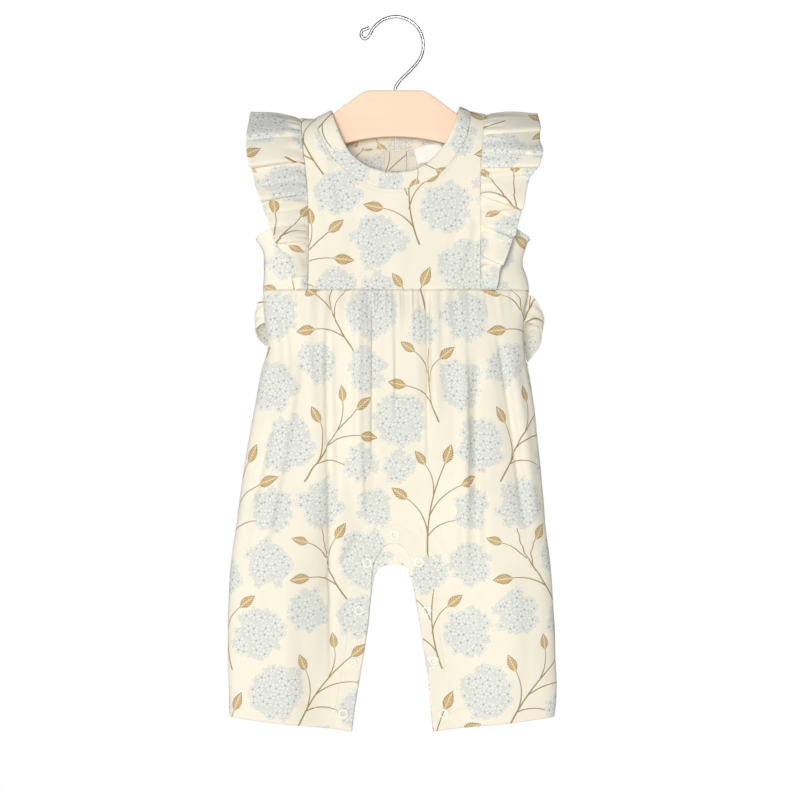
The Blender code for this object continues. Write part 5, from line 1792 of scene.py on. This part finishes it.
def hem_path(wall, side, share):
    """Stitches of a leg's hem."""
    rows = leg_rows(wall)[::-1]
    v = 1 - np.interp(HEM_Z + HEM_WIDTH - HEM_STITCH, rows, np.linspace(0, 1, len(rows)))
    return leg_place(wall, side, inset(share, PATH_MARGIN), np.full(share.shape, v))


def strip_path(wall, side, share):
    """Stitches of the strip that holds the snaps, from the crotch's cut down to the hem."""
    z = STRIP_STITCH_TOP_Z[wall] - share * (STRIP_STITCH_TOP_Z[wall] - HEM_Z)
    x = inseam_x(wall, SIDE_NAMES[side], z)
    for _ in range(STRIP_STITCH_TRIES):
        x = x + side * (STRIP_STITCH - edge_distance(x, z, *inseam_edge(wall)))
    return on_form(x, z, wall, leg_lift(x, z, wall))


def arch_path(wall, share):
    """Stitches above the crotch's cut, between the two strips."""
    low = STRIP_STITCH_TOP_Z[wall]
    x = -ARCH_STITCH_HALF * np.cos(math.pi * share)
    z = low + (ARCH_TOP_Z[wall] + STRIP_STITCH - low) * np.sin(math.pi * share)
    return on_form(x, z, wall, leg_lift(x, z, wall), to_seam=True)


def neck_path(wall, share):
    """Stitches on a bodice just under the neckband."""
    neck = NECK[wall]
    step = NECK_STITCH_END + (neck.key[-1] - 2 * NECK_STITCH_END) * share
    away_x, away_z = neck_away(wall, step, NECK_STITCH)
    x = neck.at("sewn_x", step) + away_x
    z = neck.at("sewn_z", step) + away_z
    return on_form(x, z, wall, bodice_lift(x, z, wall))


def ruffle_path(side, share):
    """Stitches of a ruffle's narrow hem."""
    v = np.full(share.shape, 1 - RUFFLE_HEM / RUFFLE_WIDTH)
    return ruffle_place(side, inset(share, RUFFLE_PATH_MARGIN), v)


def armhole_path(wall, side, share):
    """Stitches along an armhole's edge."""
    height = ARMHOLE_TOP_Z - UNDERARM_Z - 2 * ARMHOLE_STITCH_END
    z = UNDERARM_Z + ARMHOLE_STITCH_END + height * share
    x = ARMHOLE.at(SIDE_NAMES[side], z) - side * ARMHOLE_STITCH
    return on_form(x, z, wall, bodice_lift(x, z, wall))


def placket_path(side, share):
    """Stitches along one edge of the back placket."""
    from_middle = (BACK_PLACKET_HALF - PLACKET_STITCH) / (2 * BACK_PLACKET_HALF)
    u = np.full(share.shape, 0.5 + side * from_middle)
    return placket_place(u, inset(share, PATH_MARGIN))


def colour_setting(name, description, *screen_values):
    """A colour that a user may change."""
    return FloatVectorProperty(
        name=name, description=description, subtype="COLOR", size=4, min=0, max=1,
        default=srgb(*screen_values),
    )


def power_setting(name, description, watts):
    """A light's power that a user may change."""
    return FloatProperty(name=name, description=description, unit="POWER", min=0, default=watts)


class RomperClothSettings(bpy.types.PropertyGroup):
    """Colours of the printed cloth."""

    ground: colour_setting("Ground", "Cloth between the printed motifs", 237, 230, 212)
    # The inner side is paler than the cloth's own ground: painted light that brightens the shaded
    # inside seen through the neck.
    inside: colour_setting("Inside", "Inner side of the cloth", 255, 252, 238)
    bloom: colour_setting("Flower Wash", "Pale wash behind the small flowers", 219, 220, 210)
    petal_line: colour_setting("Petal Line", "Outlines of the petals", 195, 196, 192)
    leaf: colour_setting("Leaf", "Fill of the leaves", 192, 162, 114)
    leaf_line: colour_setting("Leaf Line", "Outlines of the leaves", 136, 106, 61)
    twig: colour_setting("Twig", "Stems of the sprigs", 159, 135, 93)
    show_through: FloatProperty(
        name="Show Through", description="How much of the print shows on the inner side",
        subtype="FACTOR", min=0, max=1, default=0.88,
    )


class RomperHangerSettings(bpy.types.PropertyGroup):
    """Finish of the hanger."""

    board: colour_setting("Board", "Colour of the hanger's board", 248, 213, 183)


class RomperStageSettings(bpy.types.PropertyGroup):
    """Light of the stage."""

    key: power_setting("Key Light", "Power of the light above on the left", 4.0)
    side: power_setting(
        "Side Lights", "Power of the light on the left, twice that of the light on the right", 10.0,
    )
    front: power_setting("Front and Back Light", "Power of the lights before and behind", 47.5)
    floor: FloatProperty(
        name="Floor Glow", description="Even brightness that the floor has of its own",
        min=0, max=1, default=0.22,
    )
    surround: FloatProperty(
        name="Surround", description="Brightness of the light from all round",
        min=0, max=2, default=0.13,
    )


class ROMPER_OT_stage(bpy.types.Operator):
    """Add the camera, the lights, the surround and the floor"""

    bl_idname = "romper.stage"
    bl_label = "Stage"

    def execute(self, context):
        """Build the stage round the garment."""
        settings = context.scene.romper_stage
        camera = bpy.data.objects.new("camera", bpy.data.cameras.new("camera"))
        camera.location = CAMERA_PLACE
        camera.rotation_euler = (math.pi / 2, 0, 0)
        camera.data.sensor_width = CAMERA_SENSOR
        camera.data.lens = CAMERA_LENS
        context.collection.objects.link(camera)
        context.scene.camera = camera
        powers = (settings.key, settings.side, settings.side / 2, settings.front, settings.front)
        for (name, size, place), power in zip(LAMPS, powers):
            lamp = bpy.data.lights.new(name, "AREA")
            lamp.shape = "DISK"
            lamp.size = size
            lamp.energy = power
            light = bpy.data.objects.new(name, lamp)
            light.location = place
            from_aim = Vector(place) - Vector(LAMP_AIM)
            light.rotation_euler = from_aim.to_track_quat("Z", "Y").to_euler()
            context.collection.objects.link(light)
        self.surround(context.scene, settings.surround)
        self.floor(context.collection, settings.floor)
        context.scene.view_settings.view_transform = "Standard"
        return {"FINISHED"}

    def floor(self, collection, glow):
        """A pale round floor below the garment."""
        builder = bmesh.new()
        bmesh.ops.create_circle(
            builder, cap_ends=True, segments=FLOOR_POINTS, radius=FLOOR_RADIUS,
        )
        bmesh.ops.translate(builder, verts=builder.verts, vec=(0, 0, FLOOR_Z))
        mesh = bpy.data.meshes.new("floor")
        builder.to_mesh(mesh)
        builder.free()
        floor = bpy.data.objects.new("floor", mesh)
        finish, graph, shader = plain_finish("pale_floor", srgb(238, 237, 234), 0.8)
        glowing = {"Emission Color": srgb(244, 243, 240), "Emission Strength": glow}
        graph.fill(shader, glowing)
        mesh.materials.append(finish)
        collection.objects.link(floor)

    def surround(self, scene, strength):
        """Even light from all round, which the camera sees as plain white."""
        world = bpy.data.worlds.new("surround")
        scene.world = world
        world.use_nodes = True
        world.node_tree.nodes.clear()
        graph = Graph(world.node_tree)
        sight = graph.add("ShaderNodeLightPath").outputs["Is Camera Ray"]
        cool_light = {"Color": srgb(236, 243, 255), "Strength": strength}
        lit = graph.add("ShaderNodeBackground", cool_light)
        seen = graph.add("ShaderNodeBackground", {"Color": (1.0, 1.0, 1.0, 1.0)})
        mix = graph.add("ShaderNodeMixShader", {"Fac": sight})
        graph.feed(mix.inputs[1], lit.outputs[0])
        graph.feed(mix.inputs[2], seen.outputs[0])
        graph.add("ShaderNodeOutputWorld", {"Surface": mix.outputs[0]})


class ROMPER_OT_hanger(bpy.types.Operator):
    """Add the hanger's board and its hook"""

    bl_idname = "romper.hanger"
    bl_label = "Hanger"

    def execute(self, context):
        """Build the hanger."""
        make_board(tuple(context.scene.romper_hanger.board))
        make_hook()
        return {"FINISHED"}


class ROMPER_OT_bodice(bpy.types.Operator):
    """Add the front, the two back halves and the four side panels of the bodice"""

    bl_idname = "romper.bodice"
    bl_label = "Bodice"

    def execute(self, context):
        """Build the bodice's panels."""
        last = NECK[FRONT].key[-1] + SHOULDER_STEPS
        place = partial(bodice_place, FRONT, -SHOULDER_STEPS, last)
        cloth("front_bodice", [place], panel_cut)
        for side, word in SIDE_NAMES.items():
            cloth("back_bodice_" + word, [partial(back_half_place, side)], panel_cut)
            for wall, wall_word in WALL_NAMES.items():
                place = partial(side_place, wall, side)
                cloth("side_" + wall_word + "_" + word, [place], panel_cut)
        return {"FINISHED"}


class ROMPER_OT_neck(bpy.types.Operator):
    """Add the neckband, the back placket with its facing, and the bare label"""

    bl_idname = "romper.neck"
    bl_label = "Neck"

    def execute(self, context):
        """Build the pieces at the neck and the centre back."""
        cloth("neckband", [neckband_place], strip_cut, shell=BAND_SHELL)
        cloth("placket", [placket_place], panel_cut, node="back_placket")
        # The facing shows the paler inner finish on both of its sides: painted light in the shade
        # inside the neck.
        inside = cloth_finishes()[1]
        cloth("placket_facing", [facing_place], panel_cut, inward=True, slot="cloth",
              finishes=(inside, inside))
        tape = label_material()
        cloth("neck_label", [label_place], panel_cut, shell=LABEL_SHELL, inward=True,
              finishes=(tape, tape))
        return {"FINISHED"}


class ROMPER_OT_legs(bpy.types.Operator):
    """Add the front and the back leg panels"""

    bl_idname = "romper.legs"
    bl_label = "Legs"

    def execute(self, context):
        """Build both leg panels, each from two halves joined above the crotch."""
        for wall, word in WALL_NAMES.items():
            halves = [partial(leg_place, wall, side) for side in SIDE_NAMES]
            cloth("legs_" + word, halves, panel_cut, hem_shell=HEM_SHELL)
        return {"FINISHED"}


class ROMPER_OT_ruffles(bpy.types.Operator):
    """Add the ruffle over each shoulder"""

    bl_idname = "romper.ruffles"
    bl_label = "Ruffles"

    def execute(self, context):
        """Build both ruffles."""
        for side, word in SIDE_NAMES.items():
            place = partial(ruffle_place, side)
            cloth("ruffle_" + word, [place], strip_cut)
        return {"FINISHED"}


class ROMPER_OT_ties(bpy.types.Operator):
    """Add the waist ties, their knot and its two tails"""

    bl_idname = "romper.ties"
    bl_label = "Ties"

    def execute(self, context):
        """Build the ties from the side seams round to the back."""
        make_knot()
        for side, word in SIDE_NAMES.items():
            place = partial(tie_place, side)
            cloth("tie_" + word, [place], strip_cut, both_printed=True)
            place = partial(tail_place, side)
            cloth("tie_tail_" + word, [place], panel_cut, both_printed=True)
        return {"FINISHED"}


class ROMPER_OT_snaps(bpy.types.Operator):
    """Add the ring snaps of the legs and of the back placket"""

    bl_idname = "romper.snaps"
    bl_label = "Snaps"

    def execute(self, context):
        """Build all the ring snaps."""
        for name, x, z in FRONT_SNAPS:
            lift = float(leg_lift(np.array([x]), np.array([z]), FRONT)[0])
            make_ring(name, x, z, FRONT, lift)
        for name, x, z in BACK_SNAPS:
            lift = 2 * CLOTH + SEAM_GAP + float(creases_at(np.array([x]), np.array([z]), BACK)[0])
            make_ring(name, x, z, BACK, lift)
        return {"FINISHED"}


class ROMPER_OT_stitching(bpy.types.Operator):
    """Add the rows of topstitching"""

    bl_idname = "romper.stitching"
    bl_label = "Stitching"

    def execute(self, context):
        """Sew every row that shows."""
        bodice_rows = []
        for wall in WALL_NAMES:
            bodice_rows.append(partial(neck_path, wall))
            bodice_rows += [partial(armhole_path, wall, side) for side in SIDE_NAMES]
        sew("bodice_stitches", bodice_rows)
        sew("placket_stitches", [partial(placket_path, side) for side in SIDE_NAMES])
        for wall, word in WALL_NAMES.items():
            rows = [partial(arch_path, wall)]
            for side in SIDE_NAMES:
                rows += [partial(hem_path, wall, side), partial(strip_path, wall, side)]
            sew("legs_" + word + "_stitches", rows)
        sew("ruffle_stitches", [partial(ruffle_path, side) for side in SIDE_NAMES])
        return {"FINISHED"}


class ROMPER_PT_pieces(bpy.types.Panel):
    """Lists the romper's settings and the operators that build it"""

    bl_idname = "ROMPER_PT_pieces"
    bl_label = "Baby Romper"
    bl_space_type = "VIEW_3D"
    bl_region_type = "UI"
    bl_category = "Romper"

    def draw(self, context):
        """Draw each group of settings, then a button for each piece."""
        scene = context.scene
        for settings in (scene.romper_cloth, scene.romper_hanger, scene.romper_stage):
            box = self.layout.box()
            for name in settings.__annotations__:
                box.prop(settings, name)
        for operator in OPERATORS:
            self.layout.operator(operator.bl_idname)


SETTINGS = {
    "romper_cloth": RomperClothSettings,
    "romper_hanger": RomperHangerSettings,
    "romper_stage": RomperStageSettings,
}
OPERATORS = (
    ROMPER_OT_stage, ROMPER_OT_hanger, ROMPER_OT_bodice, ROMPER_OT_neck, ROMPER_OT_legs,
    ROMPER_OT_ruffles, ROMPER_OT_ties, ROMPER_OT_snaps, ROMPER_OT_stitching,
)


def register():
    """Add the settings, the operators and the panel."""
    for name, settings in SETTINGS.items():
        bpy.utils.register_class(settings)
        setattr(bpy.types.Scene, name, PointerProperty(type=settings))
    for operator in OPERATORS:
        bpy.utils.register_class(operator)
    bpy.utils.register_class(ROMPER_PT_pieces)


def unregister():
    """Take the panel, the operators and the settings away again."""
    bpy.utils.unregister_class(ROMPER_PT_pieces)
    for operator in reversed(OPERATORS):
        bpy.utils.unregister_class(operator)
    for name, settings in reversed(SETTINGS.items()):
        delattr(bpy.types.Scene, name)
        bpy.utils.unregister_class(settings)


def main():
    """Build the whole garment."""
    register()
    bpy.ops.romper.stage()
    bpy.ops.romper.hanger()
    bpy.ops.romper.bodice()
    bpy.ops.romper.neck()
    bpy.ops.romper.legs()
    bpy.ops.romper.ruffles()
    bpy.ops.romper.ties()
    bpy.ops.romper.snaps()
    bpy.ops.romper.stitching()


if __name__ == "__main__":
    main()
